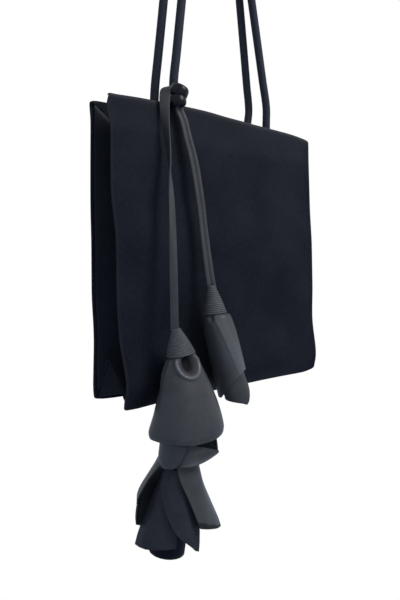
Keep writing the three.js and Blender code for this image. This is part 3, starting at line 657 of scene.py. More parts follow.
def gusset_grid(side):
    """The tucked triangle from the base up, then the pleat: half of each row, and its mirror image."""
    columns = np.linspace(0, 1, 15)
    low, top = corner_height + 0.8, body_height - 4 - fit_gap
    rows = []
    for s in np.linspace(0, 1, 13):
        start, crease = seam(low + (apex_height - low) * s), corner + (apex - corner) * s
        end = ridge_end + (apex - ridge_end) * s
        rows.append([start + (crease - start) * (a / max(s, 1e-6)) if a <= s
                     else crease + (end - crease) * ((a - s) / (1 - s)) for a in columns])
    for share in (*np.linspace(0, 1, 34)[1:-1], 0.978, 0.988, 1):
        row = []
        for a in columns:
            z = apex_height + (top - 40 * a - apex_height) * share
            edge, middle = seam(z), np.array([crease_distance(z), 0, z])
            belly = 1.6 * np.sin(np.pi * a) * np.sin(np.pi * share)
            row.append(edge + (middle - edge) * a + (belly * 0.8, -belly * 0.5, 0))
        rows.append(row)
    half = np.array(rows)
    return soften(np.concatenate([half, half[:, -2::-1] * (1, -1, 1)], 1), 3) * (side, 1, 1)


for name, side in (("left", -1), ("right", 1)):
    grid = gusset_grid(side)
    # Painted light: the whole folded side is painted a little paler, for light it does not get, and its
    # top rows paler still, a painted highlight along the top edge.
    painted_light = np.full(grid.shape[:2], 0.1)
    painted_light[-2:] = 1
    dress(sheet_piece(name + "_gusset_cloth", grid, satin, gusset_cloth, values=painted_light),
          "shell", "satin", name + "_gusset")

# %% [markdown]
# ## The base and the lining
#
# The base is folded up along its middle, so the bag stands flat when empty. Its ends reach the
# ridges of the folded sides. The linings are plain cloths that hang just inside the panels.

# %% Base
base_cloth = 1.6


def base_grid():
    foot_width = float(half_width(0))
    rows = []
    for v in np.linspace(-1, 1, 25):
        rise = 1 - abs(v)
        z = base_cloth / 2 + (base_ridge - base_cloth / 2) * rise
        end = foot_width - 1.2 + (ridge_end[0] - foot_width) * z / base_ridge
        x = np.linspace(-end, end, 41)
        foot = half_depth(0, x / end) - panel_depth - fit_gap - base_cloth / 2
        sag = 0.5 * np.sin(np.pi * rise) * np.cos(x / 38)
        rows.append(np.stack([x, foot * v, z - sag], 1))
    return soften(np.array(rows), 2)


dress(sheet_piece("base_cloth", base_grid(), satin, base_cloth), "shell", "satin", "base_panel")

# %% Linings
lining_foot, lining_top, lining_inset, lining_thickness = 8, 221.7, 14, 0.8


def lining_grid(side, seed):
    rows = []
    for z in np.linspace(lining_foot, lining_top, 30):
        x = np.linspace(-1, 1, 37) * (half_width(z) - lining_inset)
        slack = np.clip(low_waves(x, np.full_like(x, z), seed) * 0.35, -0.25, 0.6)
        depth = half_depth(z, x / half_width(z)) - inner_depth - np.abs(slack)
        rows.append(np.stack([x, side * depth, np.full_like(x, z)], 1))
    return np.array(rows)


for name, side, seed in (("front", -1, 5), ("back", 1, 6)):
    dress(sheet_piece(name + "_lining_cloth", lining_grid(side, seed), lining_cloth, lining_thickness),
          "shell", "lining", name + "_lining")

# %% [markdown]
# ## Paths, cords and straps
#
# A cord or a thong is an outline carried along a path. The path is a smooth curve through a few places,
# sampled at even steps. At each step the outline stands square to the path. For a round cord any
# direction across will do, so it is carried along without twist; a flat thong needs its own direction,
# because the way its width turns is what makes a hanging thong look like leather.

# %% Path helpers
def smooth_path(points, step):
    """Even steps along a smooth curve through some places."""
    points = np.asarray(points, float)
    knots = np.concatenate([[0], np.cumsum(np.linalg.norm(np.diff(points, axis=0), axis=1) ** 0.5)])
    slopes = np.gradient(points, knots, axis=0)
    fine = np.linspace(0, knots[-1], 40 * len(points))
    i = np.clip(np.searchsorted(knots, fine, "right") - 1, 0, len(knots) - 2)
    gap = (knots[i + 1] - knots[i])[:, None]
    t = (fine[:, None] - knots[i][:, None]) / gap
    curve = ((2 * t**3 - 3 * t**2 + 1) * points[i] + (t**3 - 2 * t**2 + t) * gap * slopes[i]
             + (3 * t**2 - 2 * t**3) * points[i + 1] + (t**3 - t**2) * gap * slopes[i + 1])
    run = np.concatenate([[0], np.cumsum(np.linalg.norm(np.diff(curve, axis=0), axis=1))])
    marks = np.linspace(0, run[-1], max(2, round(run[-1] / step)) + 1)
    return np.stack([np.interp(marks, run, curve[:, k]) for k in range(3)], 1)


def unit(vectors):
    return vectors / np.linalg.norm(vectors, axis=-1, keepdims=True)


def untwisted(path, first=(1, 0, 0)):
    """A direction across the path at each step, carried along without twist."""
    ways = unit(np.gradient(path, axis=0))
    across = [np.asarray(first, float)]
    for way in ways:
        last = across[-1]
        across.append(unit(last - way * np.dot(last, way)))
    return np.array(across[1:])


def flat_across(bearings):
    angles = np.radians(bearings)
    return np.stack([np.cos(angles), np.sin(angles), np.zeros_like(angles)], 1)


def swept(name, path, across, outline, finish, swell=1.0, widen=1.0):
    """A closed piece: an outline, in mm across and out, carried along a path."""
    ways = unit(np.gradient(path, axis=0))
    across = unit(across - ways * np.sum(across * ways, 1, keepdims=True))
    out = np.cross(ways, across)
    outline = np.asarray(outline, float)
    wide, thick = (np.broadcast_to(np.asarray(size, float), len(path))[:, None, None]
                   for size in (swell * widen, swell))
    rings = (path[:, None] + across[:, None] * outline[:, :1] * wide
             + out[:, None] * outline[:, 1:] * thick)
    count, sides = rings.shape[:2]
    around, along = run_along(np.concatenate([outline, outline[:1]])), run_along(path)
    faces, uvs = grid_faces(np.tile(around, (count, 1)), along, sides)
    for ring, corners in ((0, range(sides - 1, -1, -1)), (count - 1, range(sides))):
        faces.append(tuple(ring * sides + i for i in corners))
        uvs += [(0, along[ring])] * sides
    piece = right_side_out(piece_from(name, rings, faces, uvs, finish))
    rims = {edge for cap in piece.data.polygons[-2:] for edge in cap.edge_keys}
    for edge in piece.data.edges:
        edge.use_edge_sharp = edge.key in rims
    print(name, len(faces), "faces, length", round(along[-1] * 1000), "mm")
    return piece


def circle(radius, sides):
    angles = np.arange(sides) * 2 * np.pi / sides
    return np.stack([radius * np.cos(angles), radius * np.sin(angles)], 1)


def band(width, thickness, rounding=0.5, steps=3):
    """A flat strip's outline with rounded corners."""
    corners = []
    for sx, sy, start in ((1, 1, 0), (-1, 1, 90), (-1, -1, 180), (1, -1, 270)):
        for angle in np.radians(start + np.linspace(0, 90, steps)):
            corners.append((sx * (width / 2 - rounding) + rounding * np.cos(angle),
                            sy * (thickness / 2 - rounding) + rounding * np.sin(angle)))
    return corners


print("path helpers are ready")

# %% [markdown]
# ## The handle cords
#
# Each handle is one cord. Its ends are sewn inside the mouth, its legs run straight up under the bag's
# weight and meet over the hook. When a handle is folded down the cord bends just above the mouth.

# %% Handle cords
cord_pivot, blend_reach, path_step = 280, 12, 2.6
tab_face = top_half_depth - panel_depth - fit_gap - hem_cloth - fit_gap
cord_depth = tab_face - cord_radius
# For each handle: x of its left and right end in the mouth, x of the middle of its top, its radius.
handle_places = {-1: (-55.4, 64.9, 0, 17), 1: (-64, 55, -4.5, 28)}


def leg_x(side_x, side_y):
    """x of a leg in the mouth. The front handle sits a little to the right of the back one."""
    return handle_places[side_y][0 if side_x < 0 else 1]


def handle_path(side):
    top_middle, loop_radius = handle_places[side][2:]
    arc_height = body_height + handle_drop - loop_radius
    loop_depth = side * (cord_radius + 0.15)
    legs = []
    for side_x, bow in ((-1, 1.1), (1, 0.6)):
        x, aside = leg_x(side_x, side), 0.3 if side < 0 else 2 + 0.6 * side_x
        root = [np.array([x, side * cord_depth, z]) for z in (body_height - 26.8, 245, 262)]
        foot = np.array([x + aside, side * cord_depth, cord_pivot])
        top = np.array([top_middle + side_x * loop_radius, loop_depth, arc_height])
        legs.append(root + [foot + (top - foot) * share + (bow * math.sin(math.pi * share), 0, 0)
                            for share in (0, 0.1, 0.3, 0.5, 0.7, 0.88)])
    arc = [(top_middle + loop_radius * math.cos(a), loop_depth, arc_height + loop_radius * math.sin(a))
           for a in np.radians([180, 135, 90, 45, 0])]
    return smooth_path(legs[0] + arc + legs[1][::-1], path_step)


for name, side in (("front", -1), ("back", 1)):
    path = handle_path(side)
    cord = swept(name + "_handle", path, untwisted(path, (0, 1, 0)), circle(cord_radius, 20), cord_cover)
    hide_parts(name + "_handle_cord", name + "_left_cord_root", name + "_right_cord_root")
    name + "_handle"
    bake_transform(cord)

# %% [markdown]
# ## Making what repeats with Geometry Nodes
#
# Stitches and windings follow a rule, so nodes are the right tool: a small tree takes a few named sizes
# and builds the whole row. The same Value sums work in these trees. Each tree ends by making its
# instances real and giving them their finish. The modifier's result is then kept as a plain mesh.

# %% A Geometry Nodes tree with named sizes
class Maker(Tree):
    def __init__(self, name, sizes):
        super().__init__(bpy.data.node_groups.new(name, "GeometryNodeTree"))
        sockets = [("Line", "INPUT", "Geometry"), *((size, "INPUT", "Float") for size in sizes),
                   ("Finish", "INPUT", "Material"), ("Piece", "OUTPUT", "Geometry")]
        for label, way, kind in sockets:
            self.tree.interface.new_socket(label, in_out=way, socket_type="NodeSocket" + kind)
        self.group = self.tree.nodes.new("NodeGroupInput")

    def size(self, name):
        return Value(self.tree, self.group.outputs[name])

    def finish(self, geometry):
        for kind, inputs in (("RealizeInstances", {}), ("SetShadeSmooth", {}),
                             ("SetMaterial", {"Material": self.size("Finish")})):
            geometry = self.add("GeometryNode" + kind, inputs={"Geometry": geometry, **inputs})
        self.end("NodeGroupOutput", geometry)

    def make(self, name, finish, mesh=None, **sizes):
        """Runs the tree on a mesh, in frame metres, and keeps the result as a plain piece."""
        piece = new_object(name, mesh or bpy.data.meshes.new(name))
        rule = piece.modifiers.new("rule", "NODES")
        rule.node_group = self.tree
        given = {key.replace("_", " "): value for key, value in sizes.items()} | {"finish": finish}
        for item in self.tree.interface.items_tree:
            if item.in_out == "INPUT" and item.name.lower() in given:
                rule[item.identifier] = given[item.name.lower()]
        plain(piece)
        print(name, len(piece.data.polygons), "faces")
        return piece


print("Maker is ready")

# %% [markdown]
# ## Stitches
#
# A stitch is a short thread lying on the cloth. The tree resamples a line at the stitch pitch and puts
# one small capsule at each place, turned along the line.

# %% Stitch maker
stitcher = Maker("stitches", ["Pitch", "Length", "Thickness"])
line = stitcher.add("GeometryNodeMeshToCurve", inputs={"Mesh": stitcher.size("Line")})
marks = stitcher.add("GeometryNodeResampleCurve", mode="LENGTH",
                     inputs={"Curve": line, "Length": stitcher.size("Pitch")})
bead = stitcher.add("GeometryNodeMeshUVSphere", inputs={"Segments": 6, "Rings": 5, "Radius": 0.5})
thick = stitcher.size("Thickness")
stretch = stitcher.add("ShaderNodeCombineXYZ", inputs={0: thick, 1: thick, 2: stitcher.size("Length")})
capsule = stitcher.add("GeometryNodeTransform", inputs={"Geometry": bead, "Scale": stretch})
heading = stitcher.add("FunctionNodeAlignRotationToVector", axis="Z",
                       inputs={"Vector": stitcher.add("GeometryNodeInputTangent")})
stitcher.finish(stitcher.add("GeometryNodeInstanceOnPoints",
                             inputs={"Points": marks, "Instance": capsule, "Rotation": heading}))


def stitch_row(name, lines, pitch=2.7, length=2.0, thickness=0.5):
    """Stitches along one or more lines of places, in mm."""
    points, edges = [], []
    for row in lines:
        edges += [(len(points) + k, len(points) + k + 1) for k in range(len(row) - 1)]
        points += list(row)
    mesh = bpy.data.meshes.new(name)
    mesh.from_pydata(to_frame(points).tolist(), edges, [])
    dress(stitcher.make(name, sewing, mesh, pitch=pitch / 1000, length=length / 1000,
                        thickness=thickness / 1000), "shell", "thread")


# %% [markdown]
# ## The cord tabs
#
# Inside the mouth each cord end is held by a sewn tab: two flat wings on the hem and an arch over the
# cord. The tab is one sheet; a box of stitches holds each wing. The hem has its own row of stitches.

# %% Tabs and their stitches
arch = cord_radius + 0.9
tab_foot, tab_top, tab_cloth = body_height - 27.3, body_height - 3.3, 1.2
# The tab's way across the cord: wing, arch and wing, as x and height from the hem.
wing = [(-11, 0.6), (-8.8, 0.6), (-6.6, 0.6), (-5.3, 0.75), (-arch, 1.4)]
tab_section = np.array([*wing, *((arch * math.cos(a), cord_radius + 0.3 + arch * math.sin(a))
                                 for a in np.radians(np.linspace(180, 0, 15))),
                        *((-x, height) for x, height in reversed(wing))])


def tab_grid(centre, side):
    x, height = tab_section.T
    return [np.stack([centre + x, side * (tab_face - height), np.full_like(x, z)], 1)
            for z in np.linspace(tab_foot, tab_top, 11)]


def tab_stitches(centre, side):
    """A box of stitches on each wing."""
    low, high, level = tab_foot + 1.5, tab_top - 1.5, side * (tab_face - 1.25)
    boxes = []
    for near, far in ((7, 9.9), (-7, -9.9)):
        ring = ((near, low), (far, low), (far, high), (near, high), (near, low))
        boxes.append([(centre + x, level, z) for x, z in ring])
    return boxes


for name, side in (("front", -1), ("back", 1)):
    for label, side_x in (("left", -1), ("right", 1)):
        centre = leg_x(side_x, side)
        tab = sheet_piece(f"{name}_{label}_tab", tab_grid(centre, side), satin, tab_cloth)
        dress(tab, "shell", "satin", f"{name}_{label}_cord_tab")
        stitch_row(f"{name}_{label}_tab_stitches", tab_stitches(centre, side))
    z = body_height - 28.5
    inside = float(side * (half_depth(z) - inner_depth - 0.75))
    hem_line = [(x, inside, z - 4 * (x / (body_width / 2)) ** 2) for x in np.linspace(-106, 106, 30)]
    stitch_row(name + "_hem_stitches", [hem_line], 3.2, 2.3, 0.45)

# %% [markdown]
# ## The charm's thong
#
# The thong is looped round the front left cord and drawn into a knot in front of the panel. From the
# knot hang two straps. The long one leaves the top of the knot, turns over and hangs with its width
# turning by half a turn on its way down. The short one is two plies side by side.

# %% Places of the charm
knot_width, knot_height, thong = 17, 19, 1.8
charm_x = leg_x(-1, -1)
knot_centre = np.array([charm_x - 6.9, -top_half_depth - knot_width / 2, body_height + 3.6])


def near_knot(across, out, up):
    return knot_centre + (across * knot_width, out * knot_width, up * knot_height)


long_pivot = near_knot(-0.665, 0.18, -0.03)
long_foot = long_pivot + (-12.8, -23.4, -191.7)
short_pivot = near_knot(0.124, 0.147, -0.485) - (0, 0, 0.3 + thong / 2)
short_foot = short_pivot + (21.8, -12.8, -147.8)
print("knot", knot_centre.round(1), "long foot", long_foot.round(1), "short foot", short_foot.round(1))

# %% Thong loop
loop_level, loop_width, loop_cloth = body_height + 5.5, 5.2, 1.5
loop_radius = cord_radius + 0.3 + thong / 2
front_y = knot_centre[1] + knot_width * 0.441 + 1.2
side_ys = np.linspace(-cord_depth - 1.2, front_y + 1.6, 4)
ring = [(loop_radius * math.cos(a), -cord_depth + loop_radius * math.sin(a))
        for a in np.radians(np.linspace(0, 180, 15))]
ring += [(-loop_radius, y) for y in side_ys]
ring += [(loop_radius * math.cos(a), front_y + 1.6 * (1 + math.sin(a)))
         for a in np.radians(np.linspace(215, 325, 7))]
ring += [(loop_radius, y) for y in side_ys[::-1]]
loop_grid = [[(charm_x + x, y, loop_level + rise * loop_width + 0.5 * math.sin(0.5 * (charm_x + x)))
              for x, y in ring] for rise in np.linspace(-0.5, 0.5, 5)]
dress(sheet_piece("thong_loop", loop_grid, knot_leather, loop_cloth, wrap=True), "shell", "knot_leather",
      "charm_loop")

# %% [markdown]
# ## The knot
#
# Drawn tight, an overhand knot in a flat thong becomes a squat bead: one wide turn lies over the top,
# a second one closes it from below, and a dark line runs between them. Each turn is the thong carried
# round a tilted ring; a rounded core fills the middle, where the thong passes through.

# %% Knot
# The bearing of the side that faces the camera.
front_bearing = -127
facing = math.radians(front_bearing)
right = np.array([-math.sin(facing), math.cos(facing), 0])
outward = np.array([math.cos(facing), math.sin(facing), 0])


def knot_turn(name, aside, rise, tilt, radius, tall, thick):
    """One wide turn of the thong round the knot, tilted to the side."""
    over = right * math.cos(math.radians(tilt)) + np.array([0, 0, math.sin(math.radians(tilt))])
    turns = np.linspace(math.pi, 3 * math.pi, 73)
    path = (knot_centre + right * aside + (0, 0, rise) + np.outer(np.sin(turns), over) * radius
            + np.outer(np.cos(turns), outward) * radius * 0.92)
    round_off = circle(1, 24)
    outline = np.sign(round_off) * np.abs(round_off) ** 0.8 * (tall / 2, thick / 2)
    axis = np.tile(np.cross(over, outward), (len(path) + 2, 1))
    return swept(name, np.concatenate([path, path[1:3]]), axis, outline, knot_leather)


knot_levels = np.outer(np.linspace(-7.5, 8.6, 20), (0, 0, 1))
knot_swell = 6.2 * np.sqrt(1 - np.linspace(-0.96, 0.96, 20) ** 2)
dress(knot_turn("knot_upper_turn", 0.2, 3.4, -24, 5.0, 10.6, 6.4), "shell", "knot_leather",
      "charm_knot")
dress(knot_turn("knot_lower_turn", -1.0, -4.2, 12, 4.3, 10.4, 6.2), "shell", "knot_leather")
dress(swept("knot_core", knot_centre + knot_levels, np.tile(right, (20, 1)), circle(1, 24), knot_leather,
            swell=knot_swell), "shell", "knot_leather")

# %% Straps in two pieces
strap_step, split_rise = 1.6, 34


def strap_path(start, pivot, foot, shares, past):
    """A smooth way through given shares of the span from the pivot to the foot, and a little past it."""
    span = foot - pivot
    between = (pivot + span * share for share in shares)
    return smooth_path([*start, pivot, *between, foot, foot + span * past], strap_step)


def split_strap(name, way, bearings, outline, pivot, foot, above, nodes, widen=1.0):
    """Cuts a strap into two pieces a little above its foot; the upper one hides the nodes it replaces.
    """
    widen = np.broadcast_to(widen, len(way))
    split = int(np.argmin(np.abs(way[:, 2] - (foot[2] + split_rise))))
    for label, part, joint, rise, fall, bodies, stands_for in (
            ("upper", slice(0, split + 1), pivot, above, 9, ("shell", f"{name}_strap"), nodes),
            ("foot", slice(split, None), foot, 12, 4, (f"{name}_strap", f"{name}_flower"), ())):
        strap = swept(f"{name}_strap_{label}", way[part], flat_across(bearings[part]), outline,
                      strap_leather, widen=widen[part])
        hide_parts(*stands_for)
        to_frame(joint + (0, 0, rise))
        to_frame(joint - (0, 0, fall))
        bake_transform(strap)


# %% Long strap
strap_width, strap_cloth = 6.8, 1.5
shares = [(0.13, 0.07, 0.115), (0.07, 0.17, 0.245), (0.23, 0.35, 0.38), (0.47, 0.58, 0.56),
          (0.68, 0.75, 0.73)]
bend = [near_knot(0.14, 0.0, 0.18), near_knot(-0.08, 0.11, 0.41), near_knot(-0.39, 0.13, 0.37),
        near_knot(-0.6, 0.17, 0.19)]
way = strap_path(bend, long_pivot, long_foot, shares, 0.05)
# Height and bearing of the strap's width, from the foot up.
turning = [(0, -40), (80, -40), (100, -35), (120, -25), (136, -14), (149, -4), (162, 5), (175, 15),
           (190, 38), (196, 53), (201, 65), (214, 78), (227, 94), (240, 114), (250, 135), (258, 140),
           (264, 138), (276, 58)]
bearings = np.interp(way[:, 2], *np.transpose(turning))
top_end = int(np.argmax(way[:, 2]))
bearings[:top_end] = bearings[top_end]
widths = np.interp(way[:, 2], [190, 240, 262], [strap_width, 8.4, 9])
way = way + flat_across(bearings) * ((widths - strap_width) / 2)[:, None]
split_strap("long", way, bearings, band(strap_width, strap_cloth), long_pivot, long_foot, 7,
            ("long_strap_bend", "long_strap"), widths / strap_width)

# %% Short strap
def two_plies(width, thickness, groove):
    """Two strips side by side, with a groove down the middle of each face."""
    half, deep = thickness / 2, thickness * 0.04
    side = [(width / 2 - 0.5, half), (width * 0.3, half + 0.1), (groove * 0.9, half),
            (groove * 0.35, deep)]
    face = side + [(-x, y) for x, y in reversed(side)]
    end = [(-width / 2 - 0.05, half * 0.5), (-width / 2 - 0.1, 0), (-width / 2 - 0.05, -half * 0.5)]
    back = [(-x, -y) for x, y in face]
    return face + end + back + [(-x, -y) for x, y in end]


shares = [(0.16, 0.07, 0.053), (0.35, 0.17, 0.167), (0.55, 0.28, 0.282), (0.76, 0.51, 0.52),
          (0.87, 0.73, 0.756)]
way = strap_path([near_knot(0.1, 0.1, -0.25)], short_pivot, short_foot, shares, 0.06)
bearings = np.interp(way[:, 2], [60, 110, 150, 200, 260], [-24, -16, -4, -12, 0])
split_strap("short", way, bearings, two_plies(8.4, 2.0, 1.2), short_pivot, short_foot, 4,
            ("short_strap",))

# %% [markdown]
# ## The wound bindings
#
# The gathered top of each flower is wound with waxed thread, turn beside turn, from the strap down to
# the widest place. The tree draws one thread as a spiral whose radius grows in two stretches, and
# carries a round section along it. Under it lies the gathered leather, drawn as a fluted cone.

# %% Winding maker
winding_sizes = ["Turns", "Length", "Top radius", "Middle radius", "Bottom radius", "Thread radius"]
winder = Maker("winding", winding_sizes)
turns, length, top_radius, middle_radius, bottom_radius, thread = map(winder.size, winding_sizes)
spine = winder.add("GeometryNodeCurvePrimitiveLine", inputs={"Start": (0, 0, 0), "End": (0, 0, 1)})
spine = winder.add("GeometryNodeResampleCurve", mode="COUNT",
                   inputs={"Curve": spine, "Count": turns * 26})
fall = winder.add("GeometryNodeSplineParameter", "Factor")
upper = top_radius + (middle_radius - top_radius) * fall * 2
lower = middle_radius + (bottom_radius - middle_radius) * (fall * 2 - 1)
above = fall.math("LESS_THAN", 0.5)
wobble = (fall * 61).math("SINE") * 0.00008
spread = above * upper + (1 - above) * lower + wobble
angle = fall * turns * (2 * math.pi)
place = winder.add("ShaderNodeCombineXYZ", inputs={
    0: spread * angle.math("COSINE"), 1: spread * angle.math("SINE"), 2: fall * length * -1})
spiral = winder.add("GeometryNodeSetPosition", inputs={"Geometry": spine, "Position": place})
section = winder.add("GeometryNodeCurvePrimitiveCircle", inputs={"Resolution": 8, "Radius": thread})
winder.finish(winder.add("GeometryNodeCurveToMesh",
                         inputs={"Curve": spiral, "Profile Curve": section, "Fill Caps": True}))


def lean(aside, out):
    return np.array([aside, out, -1.0]) / math.hypot(aside, out, 1)


def hang_matrix(top, down):
    """Turns a form drawn hanging along -Z from the origin so that it hangs from top along down."""
    turn = Vector((0, 0, -1)).rotation_difference(Vector(down)).to_matrix().to_4x4()
    return Matrix.Translation(Vector(top)) @ turn


def hung(points, top, down):
    turn = np.array(hang_matrix((0, 0, 0), down).to_3x3())
    return np.asarray(points, float) @ turn.T + np.asarray(top)


binding_length, short_overlap = 23.4, 3.3
neck_radius, long_binding_radius, short_binding_radius = 3.6, 12.3, 10.9
long_binding_lean, bell_lean = lean(0.173, -0.065), lean(0.009, -0.049)
stem_lean, lower_lean = lean(-0.086, -0.065), lean(-0.15, 0.053)
short_binding_lean, roll_lean = lean(0.08, -0.094), lean(0.19, -0.12)
stem_length, waist_drop = 84, 5.1


def end_reach(width):
    return math.hypot(width, thong) / 2 + 0.3


long_binding_top = long_foot + long_binding_lean * end_reach(strap_width)
short_binding_top = short_foot + short_binding_lean * end_reach(8)
bell_top = long_binding_top + long_binding_lean * binding_length
roll_top = short_binding_top + short_binding_lean * binding_length
waist = bell_top + stem_lean * stem_length + lower_lean * waist_drop
print("bell top", bell_top.round(1), "waist", waist.round(1), "roll top", roll_top.round(1))

# %% Bindings
thread_radius, winding_turns, middle_share = 0.8, 16, 0.55


def fluted_cone(top_radius, bottom_radius, length):
    middle = top_radius + (bottom_radius - top_radius) * middle_share
    around = np.linspace(0, 2 * np.pi, 97)[:-1]
    flute = 1 + 0.02 * np.cos(16 * around)
    rows = []
    for share in np.linspace(0, 1, 14):
        radius = np.interp(share, [0, 0.5, 1], [top_radius, middle, bottom_radius]) * flute
        depth = np.full_like(around, 0.4 + (length - 0.8) * share)
        rows.append(np.stack([radius * np.cos(around), radius * np.sin(around), -depth], 1))
    return np.array(rows)


for name, top, down, radius, length in (
        ("long", long_binding_top, long_binding_lean, long_binding_radius, binding_length),
        ("short", short_binding_top, short_binding_lean, short_binding_radius,
         binding_length + short_overlap)):
    middle = neck_radius + (radius - neck_radius) * middle_share
    radii = {label + "_radius": (size - thread_radius) / 1000
             for label, size in (("top", neck_radius), ("middle", middle), ("bottom", radius))}
    winding = winder.make(name + "_winding", thread_wax, turns=winding_turns,
                          length=(length - 1.7) / 1000, thread_radius=thread_radius / 1000, **radii)
    winding.data.transform(hang_matrix(to_frame(top + down * 0.85), down))
    dress(right_side_out(winding), name + "_flower", "thread", name + "_binding_thread")
    cone = hung(fluted_cone(neck_radius - 1, radius - 1.9, length * 0.9), top, down)
    dress(sheet_piece(name + "_gathered_top", cone, petal_leather, 0.8, wrap=True, levels=0),
          name + "_flower", "petal_leather", name + "_binding_core")

# %% [markdown]
# ## Petals
#
# Every petal is a piece of soft leather bent round the flower's axis, so it is drawn in bearings round
# that axis and heights down it. Bearings are counted from the side that faces the camera. A wrapped
# petal is drawn by rules: how far it spreads to each side, how its radius opens on the way down, and
# the line of its lower edge. A free petal is drawn between its two side edges, each a few measured
# places, because the way those edges run is what makes it look like itself.

# %% Petal helpers
leather_sheet, petal_rows, petal_columns = 1.2, 41, 31


def edge_line(wrap, bearing, rise, length, *places):
    """The lower edge of a wrapped petal through (bearing, fall) places, as a share of its length."""
    bearings, falls = np.transpose(places)
    return lambda across: (np.interp(across * wrap + bearing, bearings, falls) + rise) / length


def petal_grid(columns, rows, bearing, spread, edge, radius, start, length, depth=1.0, relief=None):
    """A grid of places on a wrapped petal. across runs from -1 to 1, reach from 0 to 1."""
    across, share = np.meshgrid(np.linspace(-1, 1, columns), np.linspace(0, 1, rows))
    reach = share * edge(across)
    angle = np.radians(front_bearing + bearing + across * spread(reach))
    distance = radius(reach, across)
    if relief:
        distance = distance + relief(np.degrees(angle) - front_bearing, reach * length, reach, across)
    x, y = distance * np.cos(angle), depth * distance * np.sin(angle)
    return np.stack([x, y, -start - length * reach], -1)


def tucked(grid, upper_down, own_down, inner_radius, low=0.0, run=2.2):
    """Draws the top of a wrapped petal in, under the foot of the winding above it."""
    own_turn = np.array(hang_matrix((0, 0, 0), own_down).to_3x3())
    tilts = (hung(np.eye(3)[:2], (0, 0, 0), upper_down) @ own_turn)[:, 2]
    rim = -(grid[..., 0] * tilts[0] + grid[..., 1] * tilts[1])
    free = ease((-grid[..., 2] - rim - low + 0.4) / run)
    size = np.hypot(grid[..., 0], grid[..., 1])
    grid = grid.copy()
    grid[..., :2] *= (free + (1 - free) * inner_radius / size)[..., None]
    return grid


def free_petal(left, right, belly=0.0, curl=0.0, ripple=0.0, phase=0.0, hem=0.0):
    """A grid between two side edges, each a row of (bearing, fall, radius) from the top to the tip."""
    edges = []
    for side in (left, right):
        edge = smooth_path(side, 1)
        edges.append(edge[np.linspace(0, len(edge) - 1, petal_rows).round().astype(int)][:, None])
    across, share = np.linspace(0, 1, petal_columns)[None], np.linspace(0, 1, petal_rows)[:, None]
    grid = edges[0] * (1 - across[..., None]) + edges[1] * across[..., None]
    radius = grid[..., 2] + belly * np.sin(np.pi * across) * np.sin(np.pi * share**0.8)
    at_edges = ease((0.14 - across) / 0.14) + ease((across - 0.86) / 0.14)
    radius = radius + curl * at_edges * ease(share * 2) + (curl - hem) * ease((share - 0.88) / 0.12)
    radius = radius + ripple * np.sin(9 * across + 5 * share + phase) * share
    angle = np.radians(front_bearing + grid[..., 0])
    return np.stack([radius * np.cos(angle), radius * np.sin(angle), -grid[..., 1]], -1)


def petal(name, grid, top, down, body, *nodes, finish=petal_leather, values=None):
    """A petal hung from its top, darkened at its sides and its tip: painted shade, for the shadow lines
    between petals.
    """
    values = np.zeros(grid.shape[:2]) if values is None else values
    # Painted shade along the side edges and the tip.
    values[:, [0, -1]], values[-1] = 0.6, 0.6
    dress(sheet_piece(name, hung(grid, top, down), finish, leather_sheet, values=values), body,
          "petal_leather", *nodes)


# %% [markdown]
# ## The bell
#
# One wide petal is wrapped right round and gathered under the binding. Just right of its front the
# leather is drawn in to a drop-shaped hollow with a rolled rim, which is where it catches most light.
# Inside the hollow the leather is painted dark, a painted shade, and its rim is painted pale, a painted
# highlight.

# %% Bell petal
bell_length, bell_radius, bell_top_radius = 70, 34, long_binding_radius - 0.7
bell_wrap, bell_rise = 186, 3.5
eyelet_bearing, eyelet_fall = 30, 6.6
bell_columns, bell_rows = 161, 75
bell_edge = edge_line(bell_wrap, 0, bell_rise, bell_length, (-186, 58), (-120, 61.5), (-67, 64.8),
                      (-47, 65), (-32, 65.5), (-7, 66), (17, 67.8), (33, 67.8), (52, 67.8), (67, 66.8),
                      (92, 65.5), (130, 61.5), (186, 58))


def bell_radius_at(reach):
    return bell_top_radius + (bell_radius - bell_top_radius) * (1 - (1 - np.clip(reach, 0, 1)) ** 1.6)


def eyelet_share(bearing, fall):
    aside = np.radians(bearing - eyelet_bearing) * bell_radius_at(fall / bell_length)
    return np.hypot(aside / 8.8, (fall - eyelet_fall) / 9.2)


def bell_relief(bearing, distance, reach, across):
    fall = distance - bell_rise
    share = eyelet_share(bearing, fall)
    hollow = -8 * ease((1.0 - share) / 0.45)
    rim = 2.7 * np.exp(-(((share - 1.14) / 0.16) ** 2)) * ease((fall + 1) / 4)
    angle = np.radians(bearing)
    side = np.sin(angle)
    slim = 3.8 * ease((fall - 10) / 20) * (1 - 0.55 * ease((fall - 45) / 18))
    form = side * np.where(side < 0, slim, 1.6 * ease(fall / 60))
    gathers = 0.55 * np.sin(angle * 15) * np.exp(-fall / 7) * (share > 1.3)
    folds = 0.9 * np.sin(angle * 3 + 0.8) * reach + 0.5 * np.sin(angle * 5 + 2 * reach)
    lip = -1.0 * ease((reach / bell_edge(across) - 0.94) / 0.06)
    return hollow + rim + gathers + folds * reach + lip + form + 1.1 * across


bell_grid = petal_grid(bell_columns, bell_rows, 0, lambda reach: bell_wrap, bell_edge,
                       lambda reach, across: bell_radius_at(reach - bell_rise / bell_length),
                       -bell_rise, bell_length, 0.8, bell_relief)
across, share = np.meshgrid(np.linspace(-1, 1, bell_columns), np.linspace(0, 1, bell_rows))
around_eyelet = eyelet_share(across * bell_wrap, share * bell_edge(across) * bell_length - bell_rise)
